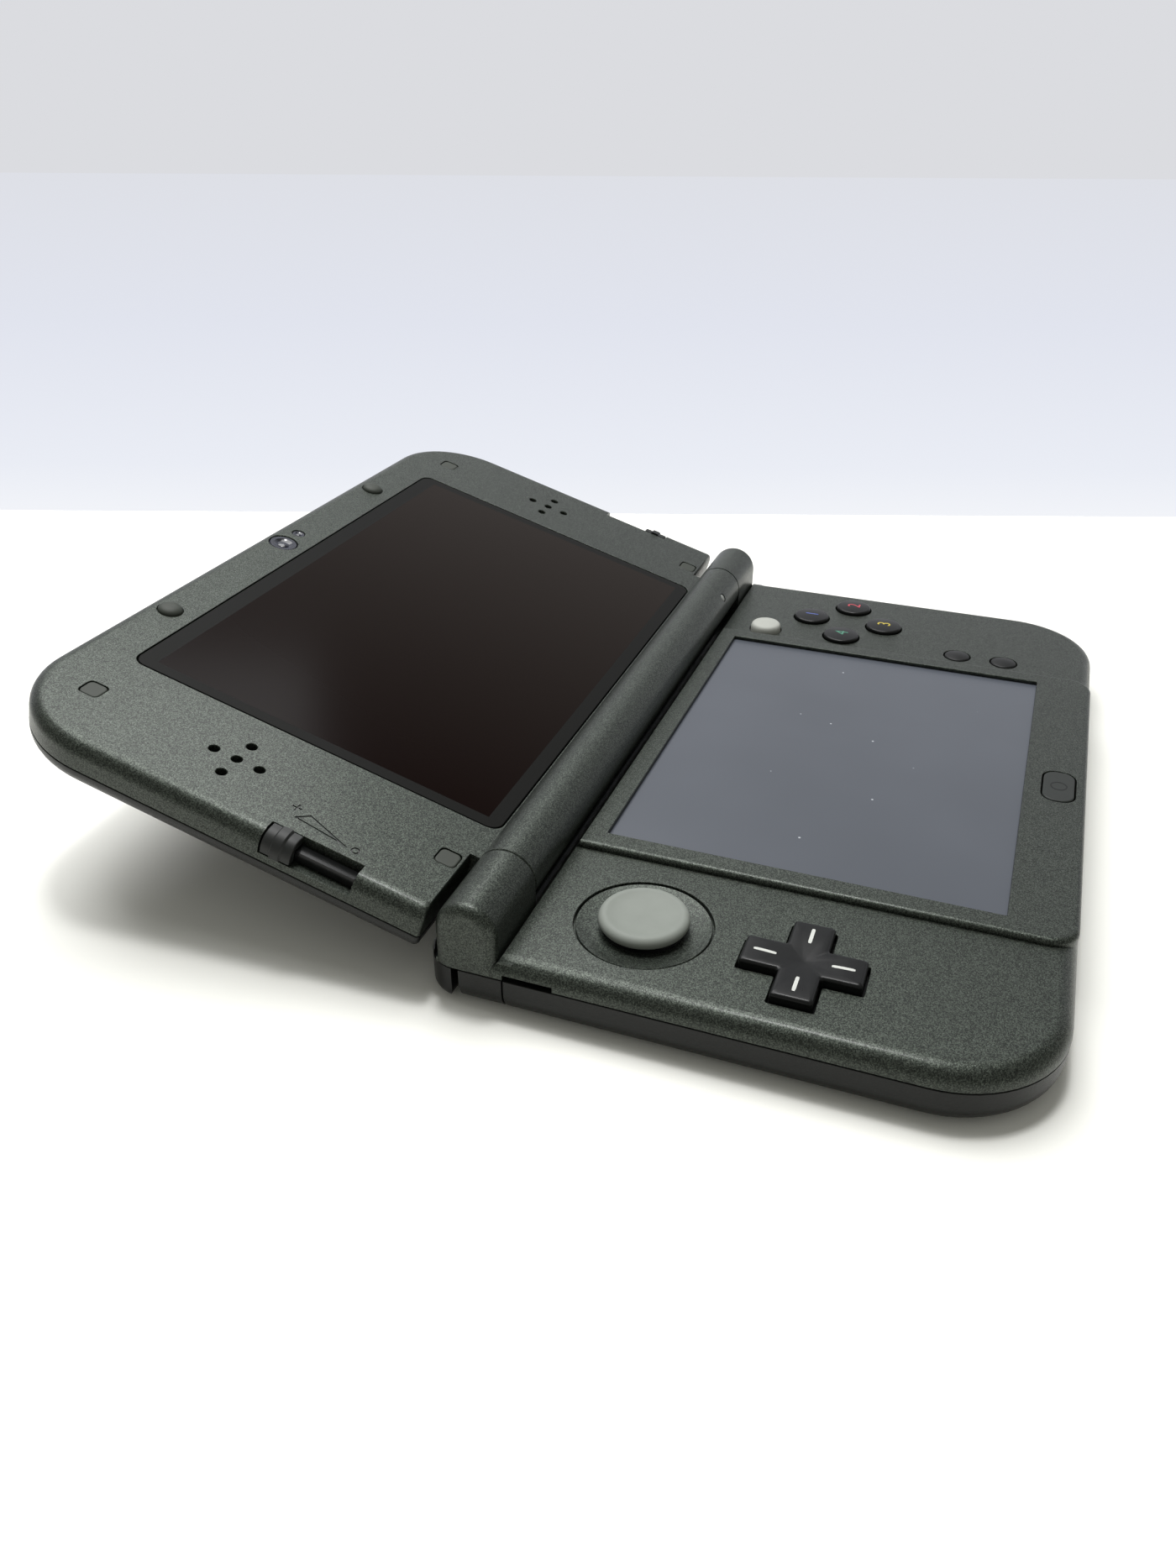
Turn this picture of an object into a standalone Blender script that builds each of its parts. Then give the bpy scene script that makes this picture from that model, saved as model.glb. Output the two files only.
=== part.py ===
# Clamshell handheld game console, open: a base with the lower screen and the controls, and a lid with
# the upper screen, joined by a long hinge barrel between two knuckles.
# Metres, +Z up, +X to the player's right, -Y towards the player. The origin is the middle of the underside.

import math

import bmesh
import bpy

# Driving dimensions of the base in plan: the lower window and what surrounds it.
LOWER_WINDOW_WIDTH = 0.0863
LOWER_WINDOW_DEPTH = 0.0654
LOWER_WINDOW_FRONT = 0.0110
PLATE_MARGIN = 0.00415
WING_WIDTH = 0.0327
BACK_DEPTH = 0.0171
FRONT_CORNER = 0.0180
BACK_CORNER = 0.0055
FLOOR_ROUND = 0.0045
EDGE_ROUND = 0.0028
WALL = 0.0015
SKIN = 0.0010
PART_GAP = 0.0003
OVERRUN = 0.0040

# Driving heights of the base, stacked from the underside.
COVER_FLOOR = 0.0012
CARD_SLOT_FLOOR = 0.0020
CARD_SLOT_HEIGHT = 0.0042
CARD_BOX_WALL = 0.0004
BOARD_THICKNESS = 0.0005
SEAM_DROP = 0.0002
FACE_OVER_BOARD = 0.0029
BEZEL_RISE = 0.0012

# Driving dimensions of the hinge and the lid.
HINGE_SETBACK = 0.0075
HINGE_RISE = 0.0034
BARREL_RADIUS = 0.00505
KNUCKLE_LENGTH = 0.0159
PIN_RADIUS = 0.0020
LID_TILT_DEG = 16.0
LID_FACE_RISE = 0.0008
LID_THICKNESS = 0.0086
LID_RIM_DEPTH = 0.0050
LID_HINGE_EDGE = 0.0064

# Driving dimensions of the upper screen's lens, from the lid's edges.
LENS_SIDE_MARGIN = 0.0244
LENS_TOP_MARGIN = 0.0100
LENS_START = 0.0054

# Places and heights that follow from the driving dimensions.
PLATE_HALF_WIDTH = LOWER_WINDOW_WIDTH / 2 + PLATE_MARGIN
HALF_WIDTH = PLATE_HALF_WIDTH + WING_WIDTH
HALF_DEPTH = (LOWER_WINDOW_FRONT + LOWER_WINDOW_DEPTH + BACK_DEPTH) / 2
CARD_BOX_TOP = CARD_SLOT_FLOOR + CARD_SLOT_HEIGHT + CARD_BOX_WALL
TRAY_TOP = CARD_BOX_TOP
BOARD_BOTTOM = TRAY_TOP + PART_GAP
BOARD_TOP = BOARD_BOTTOM + BOARD_THICKNESS
SEAM_HEIGHT = BOARD_TOP - SEAM_DROP
COVER_RIM = SEAM_HEIGHT - PART_GAP
FACE_HEIGHT = BOARD_TOP + FACE_OVER_BOARD
CEILING = FACE_HEIGHT - SKIN
BEZEL_HEIGHT = FACE_HEIGHT + BEZEL_RISE
HINGE_HEIGHT = FACE_HEIGHT + HINGE_RISE
HINGE_Y = HALF_DEPTH - HINGE_SETBACK
KNUCKLE_START = HALF_WIDTH - KNUCKLE_LENGTH
BARREL_HALF = KNUCKLE_START - PART_GAP
LID_REACH = HINGE_Y + HALF_DEPTH
LENS_WIDTH = 2 * (HALF_WIDTH - LENS_SIDE_MARGIN)
LENS_DEPTH = LID_REACH - LENS_TOP_MARGIN - LENS_START
LENS_MID_Y = LENS_START + LENS_DEPTH / 2
WINDOW_FRONT_Y = LOWER_WINDOW_FRONT - HALF_DEPTH
WINDOW_BACK_Y = WINDOW_FRONT_Y + LOWER_WINDOW_DEPTH

# Clear what the file opens with.
for old in list(bpy.data.objects):
    bpy.data.objects.remove(old, do_unlink=True)


# Geometry helpers: each returns a pair of vertex and face lists.
def rounded_plan(x_low, x_high, y_low, y_high, radii, steps):
    """Rounded rectangle, anticlockwise: an arc of steps segments at each corner, front left first."""
    centres = (
        (x_low + radii[0], y_low + radii[0]),
        (x_high - radii[1], y_low + radii[1]),
        (x_high - radii[2], y_high - radii[2]),
        (x_low + radii[3], y_high - radii[3]),
    )
    points = []
    for corner, (cx, cy) in enumerate(centres):
        for step in range(steps + 1):
            angle = math.pi * (1 + corner / 2) + math.pi / 2 * step / steps
            points.append((cx + radii[corner] * math.cos(angle), cy + radii[corner] * math.sin(angle)))
    return points


def loft(rings):
    """Closed solid through rings of equal point count, with a flat cap on the first and last ring."""
    count = len(rings[0])
    verts = [point for ring in rings for point in ring]
    faces = [tuple(range(count)), tuple(range(len(verts) - count, len(verts)))]
    for level in range(len(rings) - 1):
        low = level * count
        for i in range(count):
            j = (i + 1) % count
            faces.append((low + i, low + j, low + count + j, low + count + i))
    return verts, faces


def plan_loft(levels):
    """Loft of plan outlines: levels is a list of (outline, height)."""
    return loft([[(x, y, height) for x, y in outline] for outline, height in levels])


def side_loft(levels):
    """Loft along X of outlines in Y and Z: levels is a list of (outline, x)."""
    return loft([[(across, y, z) for y, z in outline] for outline, across in levels])


def box(low, high):
    """Box between two corners."""
    outline = [(low[0], low[1]), (high[0], low[1]), (high[0], high[1]), (low[0], high[1])]
    return plan_loft([(outline, low[2]), (outline, high[2])])


def rounded_block(x_mid, y_mid, width, depth, radius, z_low, z_high, steps=3):
    """Upright block with rounded corners in plan."""
    outline = rounded_plan(
        x_mid - width / 2, x_mid + width / 2, y_mid - depth / 2, y_mid + depth / 2, (radius,) * 4, steps
    )
    return plan_loft([(outline, z_low), (outline, z_high)])


def circle(cx, cy, radius, sides):
    """Points of a regular polygon round a centre."""
    return [
        (cx + radius * math.cos(2 * math.pi * i / sides), cy + radius * math.sin(2 * math.pi * i / sides))
        for i in range(sides)
    ]


def turned(cx, cy, profile, sides):
    """Solid of revolution about a vertical line; profile is (radius, height) from one end to the other."""
    return plan_loft([(circle(cx, cy, radius, sides), height) for radius, height in profile])


def turned_on_x(cy, cz, profile, sides):
    """Solid of revolution about a line along X; profile is (radius, x) from one end to the other."""
    return side_loft([(circle(cy, cz, radius, sides), across) for radius, across in profile])


def turned_on_y(cx, cz, profile, sides):
    """Solid of revolution about a line along Y; profile is (radius, y) from one end to the other."""
    return loft([[(x, along, z) for x, z in circle(cx, cz, radius, sides)] for radius, along in profile])


def block_on_y(x_mid, z_mid, width, height, radius, levels, steps=3):
    """Rounded bar along Y; levels is a list of (y, growth), where growth widens the outline all round."""
    rings = []
    for along, growth in levels:
        outline = rounded_plan(
            x_mid - width / 2 - growth,
            x_mid + width / 2 + growth,
            z_mid - height / 2 - growth,
            z_mid + height / 2 + growth,
            (radius + growth,) * 4,
            steps,
        )
        rings.append([(x, along, z) for x, z in outline])
    return loft(rings)


def quarter(radius, steps):
    """Quarter round as (inset, rise) pairs, from the flat face at full inset to the wall at full rise."""
    pairs = []
    for step in range(steps + 1):
        angle = math.pi / 2 * step / steps
        pairs.append((radius * (1 - math.sin(angle)), radius * (1 - math.cos(angle))))
    return pairs


def together(*pieces):
    """Several pieces of geometry as one."""
    verts = []
    faces = []
    for piece_verts, piece_faces in pieces:
        start = len(verts)
        verts.extend(piece_verts)
        faces.extend(tuple(start + i for i in face) for face in piece_faces)
    return verts, faces


def turned_ring(cx, cy, section, sides):
    """Ring of revolution about a vertical line; section is a closed outline of (radius, height)."""
    count = len(section)
    verts = []
    faces = []
    for i in range(sides):
        angle = 2 * math.pi * i / sides
        for radius, height in section:
            verts.append((cx + radius * math.cos(angle), cy + radius * math.sin(angle), height))
    for i in range(sides):
        after = (i + 1) % sides
        for k in range(count):
            m = (k + 1) % count
            faces.append((i * count + k, after * count + k, after * count + m, i * count + m))
    return verts, faces


def peg_on_axis(across, angle, radius, start, end, sides=12):
    """Cylinder that stands out from the X axis at an angle up from +Y."""
    rings = []
    for distance in (start, end):
        ring = []
        for px, py in circle(0, 0, radius, sides):
            y = math.cos(angle) * distance - math.sin(angle) * py
            z = math.sin(angle) * distance + math.cos(angle) * py
            ring.append((across + px, y, z))
        rings.append(ring)
    return loft(rings)


# Object helpers.
def finish_material(name, colour, roughness, metallic=0.0):
    """Principled material with one colour."""
    material = bpy.data.materials.new(name)
    material.use_nodes = True
    shader = material.node_tree.nodes["Principled BSDF"]
    shader.inputs["Base Color"].default_value = (*colour, 1.0)
    shader.inputs["Roughness"].default_value = roughness
    shader.inputs["Metallic"].default_value = metallic
    return material


def make_object(name, geometry, origin, parent):
    """Mesh object whose origin is the given point of the frame it is built in."""
    verts, faces = geometry
    mesh = bpy.data.meshes.new(name)
    shifted = [(x - origin[0], y - origin[1], z - origin[2]) for x, y, z in verts]
    mesh.from_pydata(shifted, [], faces)
    form = bmesh.new()
    form.from_mesh(mesh)
    bmesh.ops.recalc_face_normals(form, faces=form.faces)
    form.to_mesh(mesh)
    form.free()
    obj = bpy.data.objects.new(name, mesh)
    bpy.context.scene.collection.objects.link(obj)
    obj.location = origin
    obj.parent = parent
    return obj


def solid(name, geometry, colour, roughness, metallic=0.0, origin=(0, 0, 0), parent=None):
    """One named sub-part with a material of its own."""
    obj = make_object(name, geometry, origin, parent)
    obj.data.materials.append(finish_material(name + "_finish", colour, roughness, metallic))
    obj.data.shade_smooth()
    obj.data.set_sharp_from_angle(angle=math.radians(35))
    return obj


def apply_tool(target, geometry, operation, name, parent=None):
    """Cut a shape out of the target, or join one to it, with a Boolean modifier."""
    shape = make_object(target.name + "_" + name, geometry, (0, 0, 0), parent)
    shape.hide_render = True
    shape.display_type = "WIRE"
    modifier = target.modifiers.new(name, "BOOLEAN")
    modifier.operation = operation
    modifier.object = shape
    modifier.solver = "EXACT"


def cut(target, geometry, name, parent=None):
    """Remove a shape from the target."""
    apply_tool(target, geometry, "DIFFERENCE", name, parent)


def join(target, geometry, name, parent=None):
    """Add a shape to the target."""
    apply_tool(target, geometry, "UNION", name, parent)


# Colours of the finishes, as linear shares of red, green and blue.
GUNMETAL = (0.062, 0.070, 0.066)
GUNMETAL_DARK = (0.030, 0.034, 0.032)
BLACK = (0.012, 0.012, 0.012)
PAD_GREY = (0.270, 0.290, 0.280)
NUB_GREY = (0.460, 0.460, 0.440)
SCREEN_BLACK = (0.010, 0.006, 0.006)
SCREEN_GREY = (0.155, 0.165, 0.185)
STEEL = (0.500, 0.500, 0.500)
BOARD_GREEN = (0.020, 0.110, 0.050)


# Face controls: where each one goes through the control face, shared by the shell and the pieces.
PAD_FROM_SIDE = 0.0166
PAD_FROM_BACK = 0.03025
PAD_WELL_RADIUS = 0.0109
DPAD_FROM_SIDE = 0.0149
PAD_TO_DPAD = 0.0251
DPAD_SPAN = 0.0182
DPAD_ARM = 0.0063
DPAD_GAP = 0.00035
ACTION_FROM_SIDE = 0.0176
PAD_TO_ACTION = 0.0090
ACTION_OFFSET = 0.0084
ACTION_RADIUS = 0.00395
SMALL_FROM_SIDE = 0.0271
ACTION_TO_SELECT = 0.0260
SELECT_TO_START = 0.0099
SMALL_RADIUS = 0.0027
NUB_FROM_SIDE = 0.0279
ACTION_TO_NUB = 0.0171
NUB_RADIUS = 0.0034
HOME_FROM_FRONT = 0.00505
HOME_WIDTH = 0.0106
HOME_DEPTH = 0.0055
HOME_CORNER = 0.0018
BUTTON_GAP = 0.00025
FLANGE_WIDTH = 0.0009
FLANGE_THICKNESS = 0.00045
PAD_X = PAD_FROM_SIDE - HALF_WIDTH
PAD_Y = HALF_DEPTH - PAD_FROM_BACK
DPAD_X = DPAD_FROM_SIDE - HALF_WIDTH
DPAD_Y = PAD_Y - PAD_TO_DPAD
ACTION_X = HALF_WIDTH - ACTION_FROM_SIDE
ACTION_Y = PAD_Y - PAD_TO_ACTION
SMALL_BUTTON_X = HALF_WIDTH - SMALL_FROM_SIDE
SELECT_Y = ACTION_Y - ACTION_TO_SELECT
START_Y = SELECT_Y - SELECT_TO_START
NUB_X = HALF_WIDTH - NUB_FROM_SIDE
NUB_Y = ACTION_Y + ACTION_TO_NUB
HOME_Y = HOME_FROM_FRONT - HALF_DEPTH
ACTION_PLACES = {
    "top": (ACTION_X, ACTION_Y + ACTION_OFFSET),
    "right": (ACTION_X + ACTION_OFFSET, ACTION_Y),
    "bottom": (ACTION_X, ACTION_Y - ACTION_OFFSET),
    "left": (ACTION_X - ACTION_OFFSET, ACTION_Y),
}
SMALL_PLACES = {"select": (SMALL_BUTTON_X, SELECT_Y), "start": (SMALL_BUTTON_X, START_Y)}


def cross_plan(cx, cy, span, arm, notch):
    """Plus-shaped outline with the inner corners cut by a small slope and the arm ends chamfered."""
    half = span / 2
    side = arm / 2
    quarter_turn = [
        (half - notch, -side),
        (half, notch - side),
        (half, side - notch),
        (half - notch, side),
        (side + notch, side),
        (side, side + notch),
    ]
    points = []
    for turn in range(4):
        cos_turn = math.cos(math.pi / 2 * turn)
        sin_turn = math.sin(math.pi / 2 * turn)
        for x, y in quarter_turn:
            points.append((cx + x * cos_turn - y * sin_turn, cy + x * sin_turn + y * cos_turn))
    return points


# Base, upper half: the control face with its raised screen bezel and the two hinge knuckles.
def case_plan(inset):
    """Plan outline of the case, drawn in by an inset."""
    half = HALF_WIDTH - inset
    front = FRONT_CORNER - inset
    back = max(BACK_CORNER - inset, PART_GAP)
    return rounded_plan(-half, half, inset - HALF_DEPTH, HALF_DEPTH - inset, (front, front, back, back), 6)


TROUGH_RADIUS = 0.0065
TROUGH_SKIN = 0.0007
PLATE_CORNER = 0.0046
PLATE_FRONT_INSET = 0.0002
PLATE_DROP = 0.00075
PLATE_ROUND = 0.0009
PANEL_MARGIN = 0.0020
PANEL_DEPTH = 0.00055
KNUCKLE_ROUND = 0.0018
PIN_BORE_DEPTH = 0.0098
COVER_SETBACK = 0.01355
NOTCH_LENGTH = 0.0080
NOTCH_HEIGHT = 0.0008
NOTCH_DEPTH = 0.0011
SHOULDER_ZONE = 0.00635
SHOULDER_WIDTH = 0.0234
SHOULDER_PIVOT_INSET = 0.0009
PAD_DISH_FLANGE = 0.0016
PAD_COUNTERBORE = 0.0004
DPAD_RIM_SKIN = 0.0007
DPAD_FLANGE_REACH = 0.0010
PLATE_BOTTOM = CEILING - PLATE_DROP
TROUGH_FLOOR = SEAM_HEIGHT + TROUGH_SKIN
PIN_BORE_RADIUS = PIN_RADIUS + PART_GAP
COVER_BACK_Y = HALF_DEPTH - COVER_SETBACK
NOTCH_Y = COVER_BACK_Y - NOTCH_LENGTH
CORNER_BACK_Y = HALF_DEPTH - SHOULDER_ZONE
SHOULDER_END_X = HALF_WIDTH - SHOULDER_WIDTH
SHOULDER_PIVOT_X = SHOULDER_END_X + SHOULDER_PIVOT_INSET


def trough_profile():
    """Section of the space that the barrel turns in: a round front, a level floor, open above and behind."""
    floor_angle = math.asin((TROUGH_FLOOR - HINGE_HEIGHT) / TROUGH_RADIUS)
    steps = 6
    points = []
    for step in range(steps + 1):
        angle = math.pi - floor_angle * step / steps
        y = HINGE_Y + TROUGH_RADIUS * math.cos(angle)
        points.append((y, HINGE_HEIGHT + TROUGH_RADIUS * math.sin(angle)))
    points.append((HALF_DEPTH + OVERRUN, TROUGH_FLOOR))
    points.append((HALF_DEPTH + OVERRUN, HINGE_HEIGHT + TROUGH_RADIUS))
    points.append((HINGE_Y - TROUGH_RADIUS, HINGE_HEIGHT + TROUGH_RADIUS))
    return points


def knuckle_profile(inset):
    """Section of a hinge knuckle: half round on top, straight down to the ledge."""
    radius = BARREL_RADIUS - inset
    foot = (SEAM_HEIGHT + TROUGH_FLOOR) / 2
    steps = 12
    points = [(HINGE_Y + radius, foot)]
    for step in range(steps + 1):
        angle = math.pi * step / steps
        points.append((HINGE_Y + radius * math.cos(angle), HINGE_HEIGHT + radius * math.sin(angle)))
    points.append((HINGE_Y - radius, foot))
    return points


def knuckle(side):
    """Hinge knuckle whose outer end is rounded over; side is -1 on the left and 1 on the right."""
    levels = [(knuckle_profile(0), side * KNUCKLE_START)]
    for inset, rise in reversed(quarter(KNUCKLE_ROUND, 4)):
        levels.append((knuckle_profile(inset), side * (HALF_WIDTH - rise)))
    return side_loft(levels)


def control_shell():
    """Upper half of the base, hollow underneath, with a hole for every control."""
    levels = [
        (case_plan(WALL + EDGE_ROUND / 2), CEILING),
        (case_plan(WALL), CEILING - EDGE_ROUND / 2),
        (case_plan(WALL), SEAM_HEIGHT),
        (case_plan(0), SEAM_HEIGHT),
    ]
    for inset, drop in reversed(quarter(EDGE_ROUND, 4)):
        levels.append((case_plan(inset), FACE_HEIGHT - drop))
    shell = solid("base_control_shell", plan_loft(levels), GUNMETAL, 0.42, 0.35)

    plate_levels = []
    for inset, drop in [(0, BEZEL_HEIGHT - PLATE_BOTTOM)] + quarter(PLATE_ROUND, 3)[::-1]:
        half = PLATE_HALF_WIDTH - inset
        corner = PLATE_CORNER - inset
        front = PLATE_FRONT_INSET - HALF_DEPTH + inset
        outline = rounded_plan(-half, half, front, HINGE_Y, (corner, corner, PART_GAP, PART_GAP), 5)
        plate_levels.append((outline, BEZEL_HEIGHT - drop))
    join(shell, plan_loft(plate_levels), "screen_bezel")
    bed_half = HALF_WIDTH - WALL / 2
    bed_front = HINGE_Y - TROUGH_RADIUS - SKIN
    bed = box((-bed_half, bed_front, SEAM_HEIGHT), (bed_half, HALF_DEPTH - WALL / 2, CEILING + SKIN / 2))
    join(shell, bed, "trough_bed")

    reach = HALF_WIDTH + OVERRUN
    cut(shell, side_loft([(trough_profile(), -reach), (trough_profile(), reach)]), "barrel_trough")
    for side, label in ((-1, "left"), (1, "right")):
        join(shell, knuckle(side), label + "_knuckle")
        bore_end = KNUCKLE_START + PIN_BORE_DEPTH
        bore = [(PIN_BORE_RADIUS, side * (KNUCKLE_START - OVERRUN)), (PIN_BORE_RADIUS, side * bore_end)]
        cut(shell, turned_on_x(HINGE_Y, HINGE_HEIGHT, bore, 16), label + "_pin_bore")
        ledge_x = sorted((side * (SHOULDER_END_X - PART_GAP), side * reach))
        ledge_low = (ledge_x[0], HINGE_Y + BARREL_RADIUS, SEAM_HEIGHT - OVERRUN)
        ledge_high = (ledge_x[1], HALF_DEPTH + OVERRUN, HINGE_HEIGHT)
        cut(shell, box(ledge_low, ledge_high), label + "_shoulder_space")
        notch_x = sorted((side * (HALF_WIDTH - NOTCH_DEPTH), side * reach))
        notch_low = (notch_x[0], NOTCH_Y, SEAM_HEIGHT - OVERRUN)
        notch_high = (notch_x[1], NOTCH_Y + NOTCH_LENGTH, SEAM_HEIGHT + NOTCH_HEIGHT)
        cut(shell, box(notch_low, notch_high), label + "_pry_notch")

    window_y = (WINDOW_FRONT_Y + WINDOW_BACK_Y) / 2
    window = rounded_block(
        0, window_y, LOWER_WINDOW_WIDTH, LOWER_WINDOW_DEPTH, PART_GAP, CEILING, BEZEL_HEIGHT + OVERRUN, 1
    )
    cut(shell, window, "window")
    panel_bed = rounded_block(
        0,
        window_y,
        LOWER_WINDOW_WIDTH + 2 * PANEL_MARGIN,
        LOWER_WINDOW_DEPTH + 2 * PANEL_MARGIN,
        PANEL_MARGIN,
        SEAM_HEIGHT,
        BEZEL_HEIGHT - PANEL_DEPTH,
        2,
    )
    cut(shell, panel_bed, "panel_bed")

    well = [
        (PAD_WELL_RADIUS + PAD_DISH_FLANGE + PART_GAP, SEAM_HEIGHT),
        (PAD_WELL_RADIUS + PAD_DISH_FLANGE + PART_GAP, CEILING + PAD_COUNTERBORE),
        (PAD_WELL_RADIUS, CEILING + PAD_COUNTERBORE),
        (PAD_WELL_RADIUS, FACE_HEIGHT + OVERRUN),
    ]
    cut(shell, turned(PAD_X, PAD_Y, well, 40), "pad_well")

    span = DPAD_SPAN + 2 * DPAD_GAP
    cross = cross_plan(DPAD_X, DPAD_Y, span, DPAD_ARM + 2 * DPAD_GAP, DPAD_GAP)
    cut(shell, plan_loft([(cross, FACE_HEIGHT - OVERRUN), (cross, FACE_HEIGHT + OVERRUN)]), "dpad_hole")
    reach_span = span + 2 * DPAD_FLANGE_REACH
    under = circle(DPAD_X, DPAD_Y, reach_span / 2 + PART_GAP, 32)
    cut(shell, plan_loft([(under, SEAM_HEIGHT), (under, FACE_HEIGHT - DPAD_RIM_SKIN)]), "dpad_recess")

    holes = [(place, ACTION_RADIUS + BUTTON_GAP) for place in ACTION_PLACES.values()]
    holes += [(place, SMALL_RADIUS + BUTTON_GAP) for place in SMALL_PLACES.values()]
    holes.append(((NUB_X, NUB_Y), NUB_RADIUS + BUTTON_GAP))
    pieces = []
    for (x, y), radius in holes:
        profile = [(radius, CEILING - OVERRUN), (radius, FACE_HEIGHT + OVERRUN)]
        pieces.append(turned(x, y, profile, 24))
    cut(shell, together(*pieces), "button_holes")

    flange_space = HOME_WIDTH + 2 * FLANGE_WIDTH
    home_depth = HOME_DEPTH + 2 * BUTTON_GAP
    home_low = rounded_block(0, HOME_Y, flange_space, home_depth, HOME_CORNER, SEAM_HEIGHT, CEILING)
    home_through = rounded_block(
        0,
        HOME_Y,
        HOME_WIDTH + 2 * BUTTON_GAP,
        home_depth,
        HOME_CORNER + BUTTON_GAP,
        CEILING - FLANGE_THICKNESS,
        BEZEL_HEIGHT + OVERRUN,
    )
    cut(shell, home_low, "home_flange_space")
    cut(shell, home_through, "home_hole")
    return shell


base_control_shell = control_shell()


# Base, rear cover: the plate that comes off for the battery, with the front corner openings.
CARD_SLOT_X = -0.03225
CARD_WIDTH = 0.0330
CARD_LENGTH = 0.0350
CARD_PLAY = 0.0006
CARD_TO_STYLUS = 0.0016
STYLUS_Z = 0.0039
STYLUS_WIDTH = 0.0047
STYLUS_HEIGHT = 0.0038
STYLUS_ROUND = 0.0014
STYLUS_END_WALL = 0.0075
STYLUS_TO_JACK = 0.00845
JACK_Z = 0.0040
JACK_RADIUS = 0.0025
JACK_HOLE_RADIUS = 0.00175
POWER_FROM_SIDE = 0.0300
POWER_Z = 0.0042
POWER_WIDTH = 0.0090
POWER_HEIGHT = 0.0026
POWER_ROUND = 0.0012
PAD_BOX_ROOM = 0.0036
PAD_BOX_TO_SCREW = 0.0064
SCREW_SETBACK = 0.0042
SCREW_HEAD_RADIUS = 0.0022
SCREW_SEAT = 0.00085
SCREW_HEAD_SINK = 0.00015
SCREW_RECESS = 0.0002
SCREW_SHANK_RADIUS = 0.0010
SCREW_LENGTH = 0.0048
STYLUS_X = CARD_SLOT_X + CARD_WIDTH / 2 + CARD_PLAY + CARD_BOX_WALL + CARD_TO_STYLUS + STYLUS_WIDTH / 2
STYLUS_LENGTH = 2 * HALF_DEPTH - STYLUS_END_WALL
JACK_X = STYLUS_X + STYLUS_WIDTH / 2 + STYLUS_TO_JACK + JACK_RADIUS
POWER_X = HALF_WIDTH - POWER_FROM_SIDE
PAD_BOX_SIZE = 2 * (PAD_FROM_SIDE - PAD_BOX_ROOM)
SCREW_X = -PAD_X - PAD_BOX_SIZE / 2 - PAD_BOX_TO_SCREW
SCREW_Y = COVER_BACK_Y - SCREW_SETBACK


def cover_plan(inset, back_inset):
    """Plan outline of the rear cover, drawn in at the front and sides and, separately, at its back."""
    half = HALF_WIDTH - inset
    front = FRONT_CORNER - inset
    radii = (front, front, PART_GAP, PART_GAP)
    return rounded_plan(-half, half, inset - HALF_DEPTH, COVER_BACK_Y - back_inset, radii, 6)


def cover_levels():
    """Levels of the cover as a tub: rounded bottom edge, side walls, rim and inner floor."""
    levels = [(cover_plan(inset, 0), rise) for inset, rise in quarter(FLOOR_ROUND, 4)]
    levels.append((cover_plan(0, 0), COVER_RIM))
    levels.append((cover_plan(WALL, WALL), COVER_RIM))
    levels.append((cover_plan(WALL, WALL), FLOOR_ROUND))
    for inset, rise in reversed(quarter(FLOOR_ROUND - COVER_FLOOR, 3)):
        levels.append((cover_plan(WALL + inset, WALL), COVER_FLOOR + rise))
    return levels


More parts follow.
